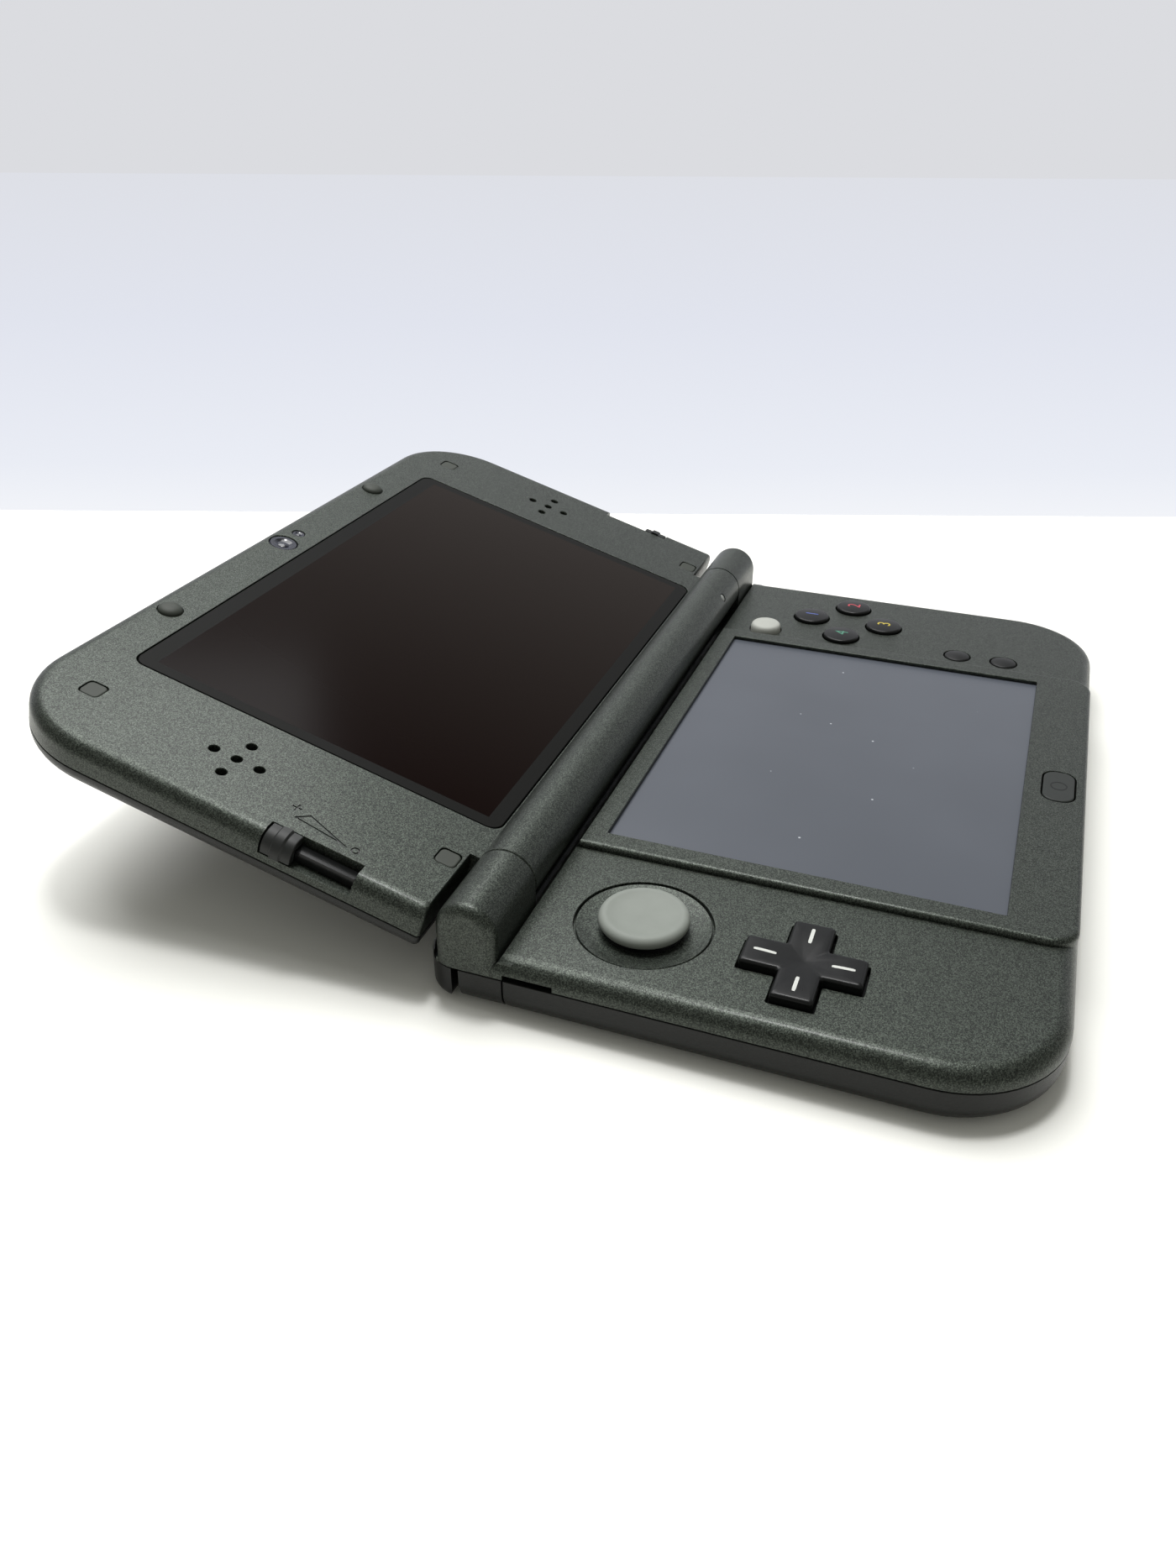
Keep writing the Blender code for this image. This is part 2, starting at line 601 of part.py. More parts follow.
def rear_cover():
    """Removable plate under the base, its walls rising to the seam on three sides."""
    cover = solid("rear_cover", plan_loft(cover_levels()), GUNMETAL_DARK, 0.5)
    inner = HALF_WIDTH - WALL - PART_GAP
    back_low = (-inner, COVER_BACK_Y - WALL - PART_GAP, FLOOR_ROUND)
    cut(cover, box(back_low, (inner, COVER_BACK_Y + OVERRUN, COVER_RIM + OVERRUN)), "open_back")
    front = -HALF_DEPTH - OVERRUN
    behind = FLOOR_ROUND - HALF_DEPTH
    card_half = CARD_WIDTH / 2 + CARD_PLAY
    card_low = (CARD_SLOT_X - card_half, front, CARD_SLOT_FLOOR)
    cut(cover, box(card_low, (CARD_SLOT_X + card_half, behind, CARD_BOX_TOP - CARD_BOX_WALL)), "card_slot")
    cage_half = card_half + CARD_BOX_WALL + PART_GAP
    cage_low = (CARD_SLOT_X - cage_half, WALL - HALF_DEPTH, COVER_FLOOR)
    cut(cover, box(cage_low, (CARD_SLOT_X + cage_half, behind, COVER_RIM + OVERRUN)), "card_cage_space")
    channel_start = COVER_BACK_Y - OVERRUN
    channel_levels = [(channel_start, PART_GAP), (COVER_BACK_Y + OVERRUN, PART_GAP)]
    channel = block_on_y(STYLUS_X, STYLUS_Z, STYLUS_WIDTH, STYLUS_HEIGHT, STYLUS_ROUND, channel_levels)
    cut(cover, channel, "stylus_channel")
    stylus_hole = block_on_y(
        STYLUS_X, STYLUS_Z, STYLUS_WIDTH, STYLUS_HEIGHT, STYLUS_ROUND, [(front, PART_GAP), (behind, PART_GAP)]
    )
    jack_hole = turned_on_y(
        JACK_X, JACK_Z, [(JACK_RADIUS + PART_GAP, front), (JACK_RADIUS + PART_GAP, behind)], 20
    )
    power_hole = block_on_y(
        POWER_X, POWER_Z, POWER_WIDTH, POWER_HEIGHT, POWER_ROUND, [(front, PART_GAP), (behind, PART_GAP)]
    )
    cut(cover, together(stylus_hole, jack_hole, power_hole), "front_holes")
    for side, label in ((-1, "left"), (1, "right")):
        hole = [
            (SCREW_HEAD_RADIUS + PART_GAP, -OVERRUN),
            (SCREW_HEAD_RADIUS + PART_GAP, SCREW_SEAT),
            (SCREW_SHANK_RADIUS + PART_GAP, SCREW_SEAT),
            (SCREW_SHANK_RADIUS + PART_GAP, COVER_FLOOR + PART_GAP),
        ]
        cut(cover, turned(side * SCREW_X, SCREW_Y, hole, 16), label + "_screw_hole")
    return cover


def cover_screws():
    """Two screws that hold the rear cover: flat head with a cross recess, plain shank."""
    for side, label in ((-1, "left"), (1, "right")):
        cx = side * SCREW_X
        profile = [
            (SCREW_HEAD_RADIUS, SCREW_HEAD_SINK),
            (SCREW_HEAD_RADIUS, SCREW_SEAT - PART_GAP),
            (SCREW_SHANK_RADIUS, SCREW_SEAT - PART_GAP),
            (SCREW_SHANK_RADIUS, SCREW_LENGTH),
        ]
        screw = solid("rear_cover_screw_" + label, turned(cx, SCREW_Y, profile, 16), STEEL, 0.3, 1.0)
        arm = SCREW_SHANK_RADIUS / 2
        cross = cross_plan(cx, SCREW_Y, SCREW_HEAD_RADIUS, arm, arm / 4)
        recess_levels = [(cross, -OVERRUN), (cross, SCREW_HEAD_SINK + SCREW_RECESS)]
        cut(screw, plan_loft(recess_levels), "cross_recess")


rear_cover()
cover_screws()


# Base, middle frame: the strip behind the rear cover, with the tray that carries the board.
TRAY_THICKNESS = 0.0005
TRAY_INSET = 0.0024
TRAY_CORNER = 0.0150
BOSS_RADIUS = 0.0024
PORT_WIDTH = 0.0096
PORT_HEIGHT = 0.0040
PORT_DEPTH = 0.0060
PORT_Z = 0.0043
PAD_BOX_CORNER = 0.0030
JACK_BODY_LENGTH = 0.0115
JACK_BODY_WIDTH = 0.0062
JACK_BODY_HEIGHT = 0.0048
TRIGGER_WIDTH = 0.0116
TRIGGER_INNER_X = SHOULDER_END_X - PART_GAP - TRIGGER_WIDTH


def strip_plan(inset):
    """Plan outline of the strip behind the rear cover."""
    half = HALF_WIDTH - inset
    back = BACK_CORNER - inset / 2
    y_front = COVER_BACK_Y + PART_GAP
    return rounded_plan(-half, half, y_front, HALF_DEPTH - inset, (PART_GAP, PART_GAP, back, back), 4)


def middle_frame():
    """Moulded frame: rear strip with its pockets, thin tray, bosses for the cover screws."""
    levels = [(strip_plan(inset), rise) for inset, rise in quarter(FLOOR_ROUND, 4)]
    levels.append((strip_plan(0), COVER_RIM))
    frame = solid("base_middle_frame", plan_loft(levels), GUNMETAL_DARK, 0.5)

    half = HALF_WIDTH - TRAY_INSET
    tray_front = TRAY_INSET - HALF_DEPTH
    tray_back = COVER_BACK_Y + FLOOR_ROUND
    corner = (TRAY_CORNER, TRAY_CORNER, PART_GAP, PART_GAP)
    outline = rounded_plan(-half, half, tray_front, tray_back, corner, 4)
    join(frame, plan_loft([(outline, TRAY_TOP - TRAY_THICKNESS), (outline, TRAY_TOP)]), "tray")

    pad_space = PAD_BOX_SIZE + 2 * PART_GAP
    pad_hole = rounded_block(PAD_X, PAD_Y, pad_space, pad_space, PAD_BOX_CORNER, COVER_FLOOR, SEAM_HEIGHT)
    card_half = CARD_WIDTH / 2 + CARD_PLAY + CARD_BOX_WALL + PART_GAP
    card_back = CARD_LENGTH - HALF_DEPTH + WALL + CARD_BOX_WALL + 2 * PART_GAP
    hole_front = tray_front - OVERRUN
    card_hole = box(
        (CARD_SLOT_X - card_half, hole_front, COVER_FLOOR), (CARD_SLOT_X + card_half, card_back, SEAM_HEIGHT)
    )
    jack_half = JACK_BODY_WIDTH / 2 + PART_GAP
    jack_back = FLOOR_ROUND + JACK_BODY_LENGTH + PART_GAP - HALF_DEPTH
    jack_low = (JACK_X - jack_half, hole_front, COVER_FLOOR)
    jack_hole = box(jack_low, (JACK_X + jack_half, jack_back, SEAM_HEIGHT))
    cut(frame, together(pad_hole, card_hole, jack_hole), "module_spaces")

    for side, label in ((-1, "left"), (1, "right")):
        boss = [(BOSS_RADIUS, COVER_FLOOR + PART_GAP), (BOSS_RADIUS, TRAY_TOP - TRAY_THICKNESS / 2)]
        join(frame, turned(side * SCREW_X, SCREW_Y, boss, 20), label + "_boss")
        screw_hole = [
            (SCREW_SHANK_RADIUS + PART_GAP, COVER_FLOOR - PART_GAP),
            (SCREW_SHANK_RADIUS + PART_GAP, SCREW_LENGTH + PART_GAP),
        ]
        cut(frame, turned(side * SCREW_X, SCREW_Y, screw_hole, 16), label + "_boss_hole")
        pocket_x = sorted((side * (TRIGGER_INNER_X - PART_GAP), side * (HALF_WIDTH + OVERRUN)))
        pocket_low = (pocket_x[0], CORNER_BACK_Y, -OVERRUN)
        pocket_high = (pocket_x[1], HALF_DEPTH + OVERRUN, COVER_RIM + OVERRUN)
        cut(frame, box(pocket_low, pocket_high), label + "_button_pocket")

    port_half = PORT_WIDTH / 2 + PART_GAP
    port_low = (-port_half, HALF_DEPTH - PORT_DEPTH - PART_GAP, PORT_Z - PORT_HEIGHT / 2 - PART_GAP)
    port_high = (port_half, HALF_DEPTH + OVERRUN, PORT_Z + PORT_HEIGHT / 2 + PART_GAP)
    cut(frame, box(port_low, port_high), "port_pocket")
    stylus_end = STYLUS_LENGTH - HALF_DEPTH + PART_GAP
    ends = [(COVER_BACK_Y - OVERRUN, PART_GAP), (stylus_end, PART_GAP)]
    channel = block_on_y(STYLUS_X, STYLUS_Z, STYLUS_WIDTH, STYLUS_HEIGHT, STYLUS_ROUND, ends)
    cut(frame, channel, "stylus_channel")
    return frame


middle_frame()


# Base, inner pieces: board, battery, card slot, sockets, lower display and touch panel.
BOARD_SIDE_ROOM = 0.0045
BOARD_FRONT_ROOM = 0.00095
BOARD_BACK_ROOM = 0.00075
BOARD_STEP_ROOM = 0.0009
BATTERY_WIDTH = 0.0580
BATTERY_DEPTH = 0.0360
STYLUS_TO_BATTERY = 0.01445
BATTERY_TO_SCREW = 0.0028
BATTERY_CORNER = 0.0020
DISPLAY_THICKNESS = 0.0016
PANEL_THICKNESS = 0.0009
MEMBRANE_THICKNESS = 0.0003
PORT_WALL = 0.0005
PORT_TONGUE = 0.0008
BOARD_RIGHT = HALF_WIDTH - BOARD_SIDE_ROOM
BOARD_LEFT = -BOARD_RIGHT
BOARD_FRONT = HOME_Y + HOME_DEPTH / 2 + BOARD_FRONT_ROOM
BOARD_BACK = HINGE_Y - TROUGH_RADIUS - SKIN - BOARD_BACK_ROOM
BOARD_STEP_X = PAD_X + PAD_BOX_SIZE / 2 + BOARD_STEP_ROOM
BOARD_STEP_Y = PAD_Y - PAD_BOX_SIZE / 2 - BOARD_STEP_ROOM
BATTERY_X = STYLUS_X + STYLUS_WIDTH / 2 + STYLUS_TO_BATTERY + BATTERY_WIDTH / 2
BATTERY_Y = SCREW_Y - SCREW_HEAD_RADIUS - BATTERY_TO_SCREW - BATTERY_DEPTH / 2
PANEL_TOP = BEZEL_HEIGHT - PANEL_DEPTH - PART_GAP
DISPLAY_TOP = PANEL_TOP - PANEL_THICKNESS - PART_GAP


def board_plan():
    """Board outline: a rectangle that leaves the slide pad's corner free."""
    return [
        (BOARD_LEFT, BOARD_FRONT + FLOOR_ROUND),
        (BOARD_LEFT + FLOOR_ROUND, BOARD_FRONT),
        (BOARD_RIGHT - FLOOR_ROUND, BOARD_FRONT),
        (BOARD_RIGHT, BOARD_FRONT + FLOOR_ROUND),
        (BOARD_RIGHT, BOARD_BACK),
        (BOARD_STEP_X, BOARD_BACK),
        (BOARD_STEP_X, BOARD_STEP_Y),
        (BOARD_LEFT, BOARD_STEP_Y),
    ]


def screens_and_board():
    """Main board, lower display and the touch panel under the bezel."""
    outline = board_plan()
    solid("main_board", plan_loft([(outline, BOARD_BOTTOM), (outline, BOARD_TOP)]), BOARD_GREEN, 0.5)
    middle = (WINDOW_FRONT_Y + WINDOW_BACK_Y) / 2
    width = LOWER_WINDOW_WIDTH + 2 * PANEL_MARGIN - 2 * PART_GAP
    depth = LOWER_WINDOW_DEPTH + 2 * PANEL_MARGIN - 2 * PART_GAP
    panel = rounded_block(0, middle, width, depth, PANEL_MARGIN, PANEL_TOP - PANEL_THICKNESS, PANEL_TOP, 2)
    solid("touch_panel", panel, SCREEN_GREY, 0.25)
    display_low = DISPLAY_TOP - DISPLAY_THICKNESS
    display = rounded_block(0, middle, width, depth, PANEL_MARGIN, display_low, DISPLAY_TOP, 1)
    solid("lower_display", display, SCREEN_GREY, 0.3)


def battery():
    """Flat battery pack with rounded long edges, under the tray."""
    low = COVER_FLOOR + PART_GAP
    high = TRAY_TOP - TRAY_THICKNESS - PART_GAP
    half = (high - low) / 2
    levels = []
    for step in range(5):
        angle = math.pi * (step / 4 - 1 / 2)
        inset = half * (1 - math.cos(angle)) / 2
        outline = rounded_plan(
            BATTERY_X - BATTERY_WIDTH / 2 + inset,
            BATTERY_X + BATTERY_WIDTH / 2 - inset,
            BATTERY_Y - BATTERY_DEPTH / 2 + inset,
            BATTERY_Y + BATTERY_DEPTH / 2 - inset,
            (BATTERY_CORNER,) * 4,
            2,
        )
        levels.append((outline, low + half + half * math.sin(angle)))
    solid("battery_pack", plan_loft(levels), STEEL, 0.5)


def card_slot():
    """Sheet-metal cage that takes a game card from the front edge."""
    inner = CARD_WIDTH / 2 + CARD_PLAY
    outer = inner + CARD_BOX_WALL
    front = WALL + PART_GAP - HALF_DEPTH
    back = front + CARD_LENGTH + CARD_BOX_WALL
    low = COVER_FLOOR + PART_GAP
    cage = solid(
        "game_card_slot",
        box((CARD_SLOT_X - outer, front, low), (CARD_SLOT_X + outer, back, TRAY_TOP)),
        STEEL,
        0.4,
        1.0,
    )
    space_high = (CARD_SLOT_X + inner, back - CARD_BOX_WALL, TRAY_TOP - CARD_BOX_WALL)
    cut(cage, box((CARD_SLOT_X - inner, front - OVERRUN, CARD_SLOT_FLOOR), space_high), "card_space")


def sockets():
    """Headphone jack in the front edge and charging port in the back."""
    front = -HALF_DEPTH + PART_GAP
    nose = [(JACK_RADIUS, front), (JACK_RADIUS, front + FLOOR_ROUND)]
    jack = solid("headphone_jack", turned_on_y(JACK_X, JACK_Z, nose, 20), BLACK, 0.4)
    body_start = FLOOR_ROUND - HALF_DEPTH
    half_body = JACK_BODY_WIDTH / 2
    body_low = (JACK_X - half_body, body_start, JACK_Z - JACK_BODY_HEIGHT / 2)
    body_high = (JACK_X + half_body, body_start + JACK_BODY_LENGTH, JACK_Z + JACK_BODY_HEIGHT / 2)
    join(jack, box(body_low, body_high), "body")
    bore = [(JACK_HOLE_RADIUS, front - OVERRUN), (JACK_HOLE_RADIUS, front + JACK_BODY_LENGTH)]
    cut(jack, turned_on_y(JACK_X, JACK_Z, bore, 16), "plug_bore")

    back = HALF_DEPTH - PART_GAP
    half_w = PORT_WIDTH / 2
    half_h = PORT_HEIGHT / 2
    port = solid(
        "charge_port",
        box((-half_w, HALF_DEPTH - PORT_DEPTH, PORT_Z - half_h), (half_w, back, PORT_Z + half_h)),
        STEEL,
        0.35,
        1.0,
    )
    floor_y = HALF_DEPTH - PORT_DEPTH + PORT_WALL
    over_low = (PORT_WALL - half_w, floor_y, PORT_Z + PORT_TONGUE / 2)
    over_high = (half_w - PORT_WALL, back + OVERRUN, PORT_Z + half_h - PORT_WALL)
    cut(port, box(over_low, over_high), "over_tongue")
    under_low = (PORT_WALL - half_w, floor_y, PORT_Z - half_h + PORT_WALL)
    under_high = (half_w - PORT_WALL, back + OVERRUN, PORT_Z - PORT_TONGUE / 2)
    cut(port, box(under_low, under_high), "under_tongue")
    for side, label in ((-1, "left"), (1, "right")):
        gap_x = sorted((side * (half_w - PORT_WALL), side * (half_w - PORT_WALL - PORT_TONGUE)))
        gap_low = (gap_x[0], floor_y, PORT_Z - PORT_TONGUE)
        cut(port, box(gap_low, (gap_x[1], back + OVERRUN, PORT_Z + PORT_TONGUE)), label + "_tongue_end")


screens_and_board()
battery()
card_slot()
sockets()


# Slide pad: a dished cap on a stem, carried by a skirt and a carriage that cross in a shallow box.
PAD_CAP_RADIUS = 0.0071
PAD_STEM_RADIUS = 0.0022
PAD_TRAVEL = 0.0024
PAD_THROAT_ROOM = 0.0014
PAD_CAP_RISE = 0.0022
PAD_DISH_DEPTH = 0.0006
PAD_DISH_THICKNESS = 0.0007
PAD_SKIRT_LAP = 0.0012
PAD_SKIRT_THICKNESS = 0.0005
PAD_BOX_LIFT = 0.0008
PAD_BOX_WALL = 0.0012
CARRIAGE_THICKNESS = 0.0010
CARRIAGE_WIDTH = 0.0150
PAD_THROAT_RADIUS = PAD_STEM_RADIUS + PAD_TRAVEL + PAD_THROAT_ROOM
PAD_SKIRT_RADIUS = PAD_THROAT_RADIUS + PAD_TRAVEL + PAD_SKIRT_LAP
PAD_CAP_BOTTOM = FACE_HEIGHT
PAD_CAP_TOP = FACE_HEIGHT + PAD_CAP_RISE
PAD_FLANGE_TOP = CEILING + PAD_COUNTERBORE - PART_GAP
PAD_FLANGE_LOW = PAD_FLANGE_TOP - PAD_DISH_THICKNESS
PAD_SKIRT_TOP = PAD_FLANGE_LOW - 2 * PART_GAP
PAD_BOX_BOTTOM = COVER_FLOOR + PAD_BOX_LIFT
PAD_BOX_TOP = SEAM_HEIGHT


def slide_pad():
    """Dish, cap, skirt, carriage and box of the slide pad."""
    dish_top = FACE_HEIGHT - PAD_DISH_DEPTH
    dish_edge = PAD_WELL_RADIUS - BUTTON_GAP
    throat = PAD_THROAT_RADIUS
    section = [
        (throat, PAD_FLANGE_LOW),
        (dish_edge + PAD_DISH_FLANGE, PAD_FLANGE_LOW),
        (dish_edge + PAD_DISH_FLANGE, PAD_FLANGE_TOP),
        (dish_edge, PAD_FLANGE_TOP),
        (dish_edge, dish_top),
        (throat, dish_top),
    ]
    solid("slide_pad_dish", turned_ring(PAD_X, PAD_Y, section, 36), GUNMETAL, 0.42, 0.35)

    box_floor = PAD_BOX_BOTTOM + PAD_BOX_WALL
    inner = PAD_BOX_SIZE - 2 * PAD_BOX_WALL
    pad_box = solid(
        "slide_pad_box",
        rounded_block(PAD_X, PAD_Y, PAD_BOX_SIZE, PAD_BOX_SIZE, PAD_BOX_CORNER, PAD_BOX_BOTTOM, PAD_BOX_TOP),
        BLACK,
        0.5,
    )
    inside = PAD_BOX_CORNER - PAD_BOX_WALL
    cut(pad_box, rounded_block(PAD_X, PAD_Y, inner, inner, inside, box_floor, PAD_BOX_TOP + OVERRUN), "space")

    carriage_low = box_floor + PART_GAP
    carriage_top = carriage_low + CARRIAGE_THICKNESS
    carriage_depth = inner - 3 * PART_GAP
    origin = (PAD_X, PAD_Y, carriage_low)
    carriage = solid(
        "slide_pad_carriage",
        rounded_block(PAD_X, PAD_Y, CARRIAGE_WIDTH, carriage_depth, inside, carriage_low, carriage_top),
        BLACK,
        0.5,
        0.0,
        origin,
    )
    slot_width = 2 * PAD_STEM_RADIUS + 2 * PART_GAP
    slot_depth = slot_width + 2 * PAD_TRAVEL
    slot_low = carriage_low - OVERRUN
    slot_top = carriage_top + OVERRUN
    slot = rounded_block(PAD_X, PAD_Y, slot_width, slot_depth, PAD_STEM_RADIUS, slot_low, slot_top)
    cut(carriage, slot, "stem_slot")

    rim = PAD_CAP_RADIUS
    lip = (PAD_CAP_TOP - PAD_CAP_BOTTOM) / 5
    profile = [
        (PAD_STEM_RADIUS, carriage_low + PART_GAP),
        (PAD_STEM_RADIUS, PAD_CAP_BOTTOM),
        (rim - 2 * lip, PAD_CAP_BOTTOM),
        (rim - lip / 2, PAD_CAP_BOTTOM + lip),
        (rim, PAD_CAP_BOTTOM + 2 * lip),
        (rim - lip / 4, PAD_CAP_BOTTOM + 3 * lip),
        (rim - lip, PAD_CAP_TOP - lip / 2),
        (rim - 2 * lip, PAD_CAP_TOP),
        (rim - 3 * lip, PAD_CAP_TOP - lip / 4),
        (rim / 2, PAD_CAP_TOP - lip),
        (rim / 6, PAD_CAP_TOP - lip - lip / 3),
    ]
    cap_origin = (PAD_X, PAD_Y, carriage_top)
    solid("slide_pad_cap", turned(PAD_X, PAD_Y, profile, 32), PAD_GREY, 0.6, 0.0, cap_origin)
    skirt_hole = PAD_STEM_RADIUS + PART_GAP
    skirt_low = PAD_SKIRT_TOP - PAD_SKIRT_THICKNESS
    skirt = [
        (skirt_hole, skirt_low),
        (PAD_SKIRT_RADIUS, skirt_low),
        (PAD_SKIRT_RADIUS, PAD_SKIRT_TOP),
        (skirt_hole, PAD_SKIRT_TOP),
    ]
    skirt_origin = (PAD_X, PAD_Y, skirt_low)
    solid("slide_pad_skirt", turned_ring(PAD_X, PAD_Y, skirt, 20), BLACK, 0.5, 0.0, skirt_origin)


slide_pad()


# Direction pad: one cross that rocks on a small pivot.
DPAD_RISE = 0.0016
DPAD_TILT_ROOM = 0.0010
DPAD_EDGE = 0.0005
PIVOT_RADIUS = 0.0015
DPAD_TOP = FACE_HEIGHT + DPAD_RISE
DPAD_FLANGE_LOW = CEILING - DPAD_TILT_ROOM
DPAD_TILT_CENTRE = DPAD_FLANGE_LOW - PART_GAP


def direction_pad():
    """Cross with a flange under the face, and the pivot that it rocks on."""
    centre = (DPAD_X, DPAD_Y, DPAD_TILT_CENTRE)
    notch = DPAD_GAP
    levels = [
        (cross_plan(DPAD_X, DPAD_Y, DPAD_SPAN, DPAD_ARM, notch), DPAD_FLANGE_LOW),
        (cross_plan(DPAD_X, DPAD_Y, DPAD_SPAN, DPAD_ARM, notch), DPAD_TOP - DPAD_EDGE),
        (cross_plan(DPAD_X, DPAD_Y, DPAD_SPAN - DPAD_EDGE, DPAD_ARM - DPAD_EDGE, notch), DPAD_TOP),
    ]
    pad = solid("direction_pad", plan_loft(levels), BLACK, 0.35, 0.0, centre)
    span = DPAD_SPAN + 2 * DPAD_FLANGE_REACH
    flange_levels = [
        (cross_plan(DPAD_X, DPAD_Y, span, DPAD_ARM + 2 * DPAD_FLANGE_REACH, notch), DPAD_FLANGE_LOW),
        (
            cross_plan(DPAD_X, DPAD_Y, span, DPAD_ARM + 2 * DPAD_FLANGE_REACH, notch),
            DPAD_FLANGE_LOW + FLANGE_THICKNESS,
        ),
    ]
    join(pad, plan_loft(flange_levels), "flange")
    pivot = [
        (PIVOT_RADIUS, BOARD_TOP + PART_GAP),
        (PIVOT_RADIUS, DPAD_TILT_CENTRE - PIVOT_RADIUS / 8),
        (PIVOT_RADIUS / 2, DPAD_TILT_CENTRE),
    ]
    solid("direction_pad_pivot", turned(DPAD_X, DPAD_Y, pivot, 12), STEEL, 0.4, 1.0, centre)


direction_pad()


# Push buttons of the face: four action buttons, select, start and home, the grey nub and the dome sheet.
ACTION_RISE = 0.0010
SMALL_RISE = 0.0005
HOME_RISE = 0.0001
NUB_RISE = 0.0019
BUTTON_EDGE = 0.0004
NUB_FOOT = 0.0008
ACTION_TOP = FACE_HEIGHT + ACTION_RISE
SMALL_TOP = FACE_HEIGHT + SMALL_RISE
HOME_TOP = BEZEL_HEIGHT + HOME_RISE
NUB_TOP = FACE_HEIGHT + NUB_RISE
BUTTON_BOTTOM = CEILING - PART_GAP - FLANGE_THICKNESS


def push_button(name, place, radius, top, colour, sides):
    """Round button with a flange under the face."""
    x, y = place
    flange = radius + BUTTON_GAP + FLANGE_WIDTH / 2
    flange_top = BUTTON_BOTTOM + FLANGE_THICKNESS
    profile = [
        (flange, BUTTON_BOTTOM),
        (flange, flange_top),
        (radius, flange_top),
        (radius, top - BUTTON_EDGE),
        (radius - BUTTON_EDGE / 3, top - BUTTON_EDGE / 3),
        (radius - BUTTON_EDGE, top),
    ]
    solid(name, turned(x, y, profile, sides), colour, 0.35, 0.0, (x, y, BUTTON_BOTTOM))


def face_buttons():
    """Every push button of the control face."""
    for label, place in ACTION_PLACES.items():
        push_button("action_button_" + label, place, ACTION_RADIUS, ACTION_TOP, BLACK, 24)
    for label, place in SMALL_PLACES.items():
        push_button(label + "_button", place, SMALL_RADIUS, SMALL_TOP, BLACK, 18)
    flange_low = BUTTON_BOTTOM - BUTTON_EDGE
    body = rounded_block(0, HOME_Y, HOME_WIDTH, HOME_DEPTH, HOME_CORNER, flange_low, HOME_TOP)
    home = solid("home_button", body, BLACK, 0.4, 0.0, (0, HOME_Y, BUTTON_BOTTOM))
    flange_width = HOME_WIDTH + 2 * FLANGE_WIDTH - 2 * BUTTON_GAP
    flange_top = flange_low + FLANGE_THICKNESS
    flange = rounded_block(0, HOME_Y, flange_width, HOME_DEPTH, HOME_CORNER, flange_low, flange_top)
    join(home, flange, "flange")

    foot = NUB_RADIUS + NUB_FOOT
    nub = [
        (foot, BOARD_TOP + PART_GAP),
        (foot, CEILING - PART_GAP),
        (NUB_RADIUS, CEILING - PART_GAP),
        (NUB_RADIUS, FACE_HEIGHT),
        (NUB_RADIUS - BUTTON_EDGE, NUB_TOP - 2 * BUTTON_EDGE),
        (NUB_RADIUS - 2 * BUTTON_EDGE, NUB_TOP - BUTTON_EDGE / 2),
        (NUB_RADIUS / 3, NUB_TOP),
    ]
    solid("camera_stick_nub", turned(NUB_X, NUB_Y, nub, 24), NUB_GREY, 0.6)

    low = BOARD_TOP + PART_GAP
    reach = ACTION_OFFSET + ACTION_RADIUS
    sheet = rounded_block(
        ACTION_X, ACTION_Y, 2 * reach, 2 * reach, ACTION_RADIUS, low, low + MEMBRANE_THICKNESS
    )
    solid("button_dome_sheet", sheet, PAD_GREY, 0.7)


face_buttons()


# Edge controls: power button and stylus in front, two shoulder buttons and two triggers at the back.
POWER_PROUD = 0.0002
POWER_LENGTH = 0.0032
SHOULDER_FRONT_GAP = 0.0015
SHOULDER_RISE = 0.0006
SHOULDER_BOTTOM = 0.0006
SHOULDER_LIP = 0.0012
SHOULDER_ROUND = 0.0016
SHOULDER_TOP_ROUND = 0.0006
TRIGGER_BACK_INSET = 0.0004
STYLUS_TIP = 0.0012
SHOULDER_TOP = SEAM_HEIGHT + SHOULDER_RISE


def power_button():
    """Oblong button in the front edge, with a flange inside the wall."""
    front = -HALF_DEPTH - POWER_PROUD
    wall_inside = -HALF_DEPTH + WALL + 2 * PART_GAP
    levels = [(front, -POWER_PROUD), (front + POWER_PROUD, 0), (wall_inside + POWER_LENGTH / 2, 0)]
    button = solid(
        "power_button",
        block_on_y(POWER_X, POWER_Z, POWER_WIDTH, POWER_HEIGHT, POWER_ROUND, levels),
        BLACK,
        0.4,
        0.0,
        (POWER_X, -HALF_DEPTH, POWER_Z),
    )
    flange_start = wall_inside + POWER_LENGTH / 4
    flange_half = POWER_WIDTH / 2 + FLANGE_WIDTH
    flange_low = (POWER_X - flange_half, flange_start, POWER_Z - POWER_HEIGHT / 4)
    flange_high = (POWER_X + flange_half, wall_inside + POWER_LENGTH, POWER_Z + POWER_HEIGHT / 4)
    join(button, box(flange_low, flange_high), "flange")


def stylus():
    """Flat-sided pen with a tapered tip, stored in the front edge with its head level with the wall."""
    head = -HALF_DEPTH + PART_GAP / 2
    tip = head + STYLUS_LENGTH - PART_GAP
    levels = [
        (head, -PART_GAP),
        (head + PART_GAP, 0),
        (head + STYLUS_LENGTH - 2 * FLOOR_ROUND, 0),
        (tip - STYLUS_TIP, -STYLUS_TIP),
        (tip, -STYLUS_TIP - PART_GAP / 2),
    ]
    shape = block_on_y(STYLUS_X, STYLUS_Z, STYLUS_WIDTH, STYLUS_HEIGHT, STYLUS_ROUND, levels, 2)
    solid("stylus", shape, BLACK, 0.4, 0.0, (STYLUS_X, head, STYLUS_Z))


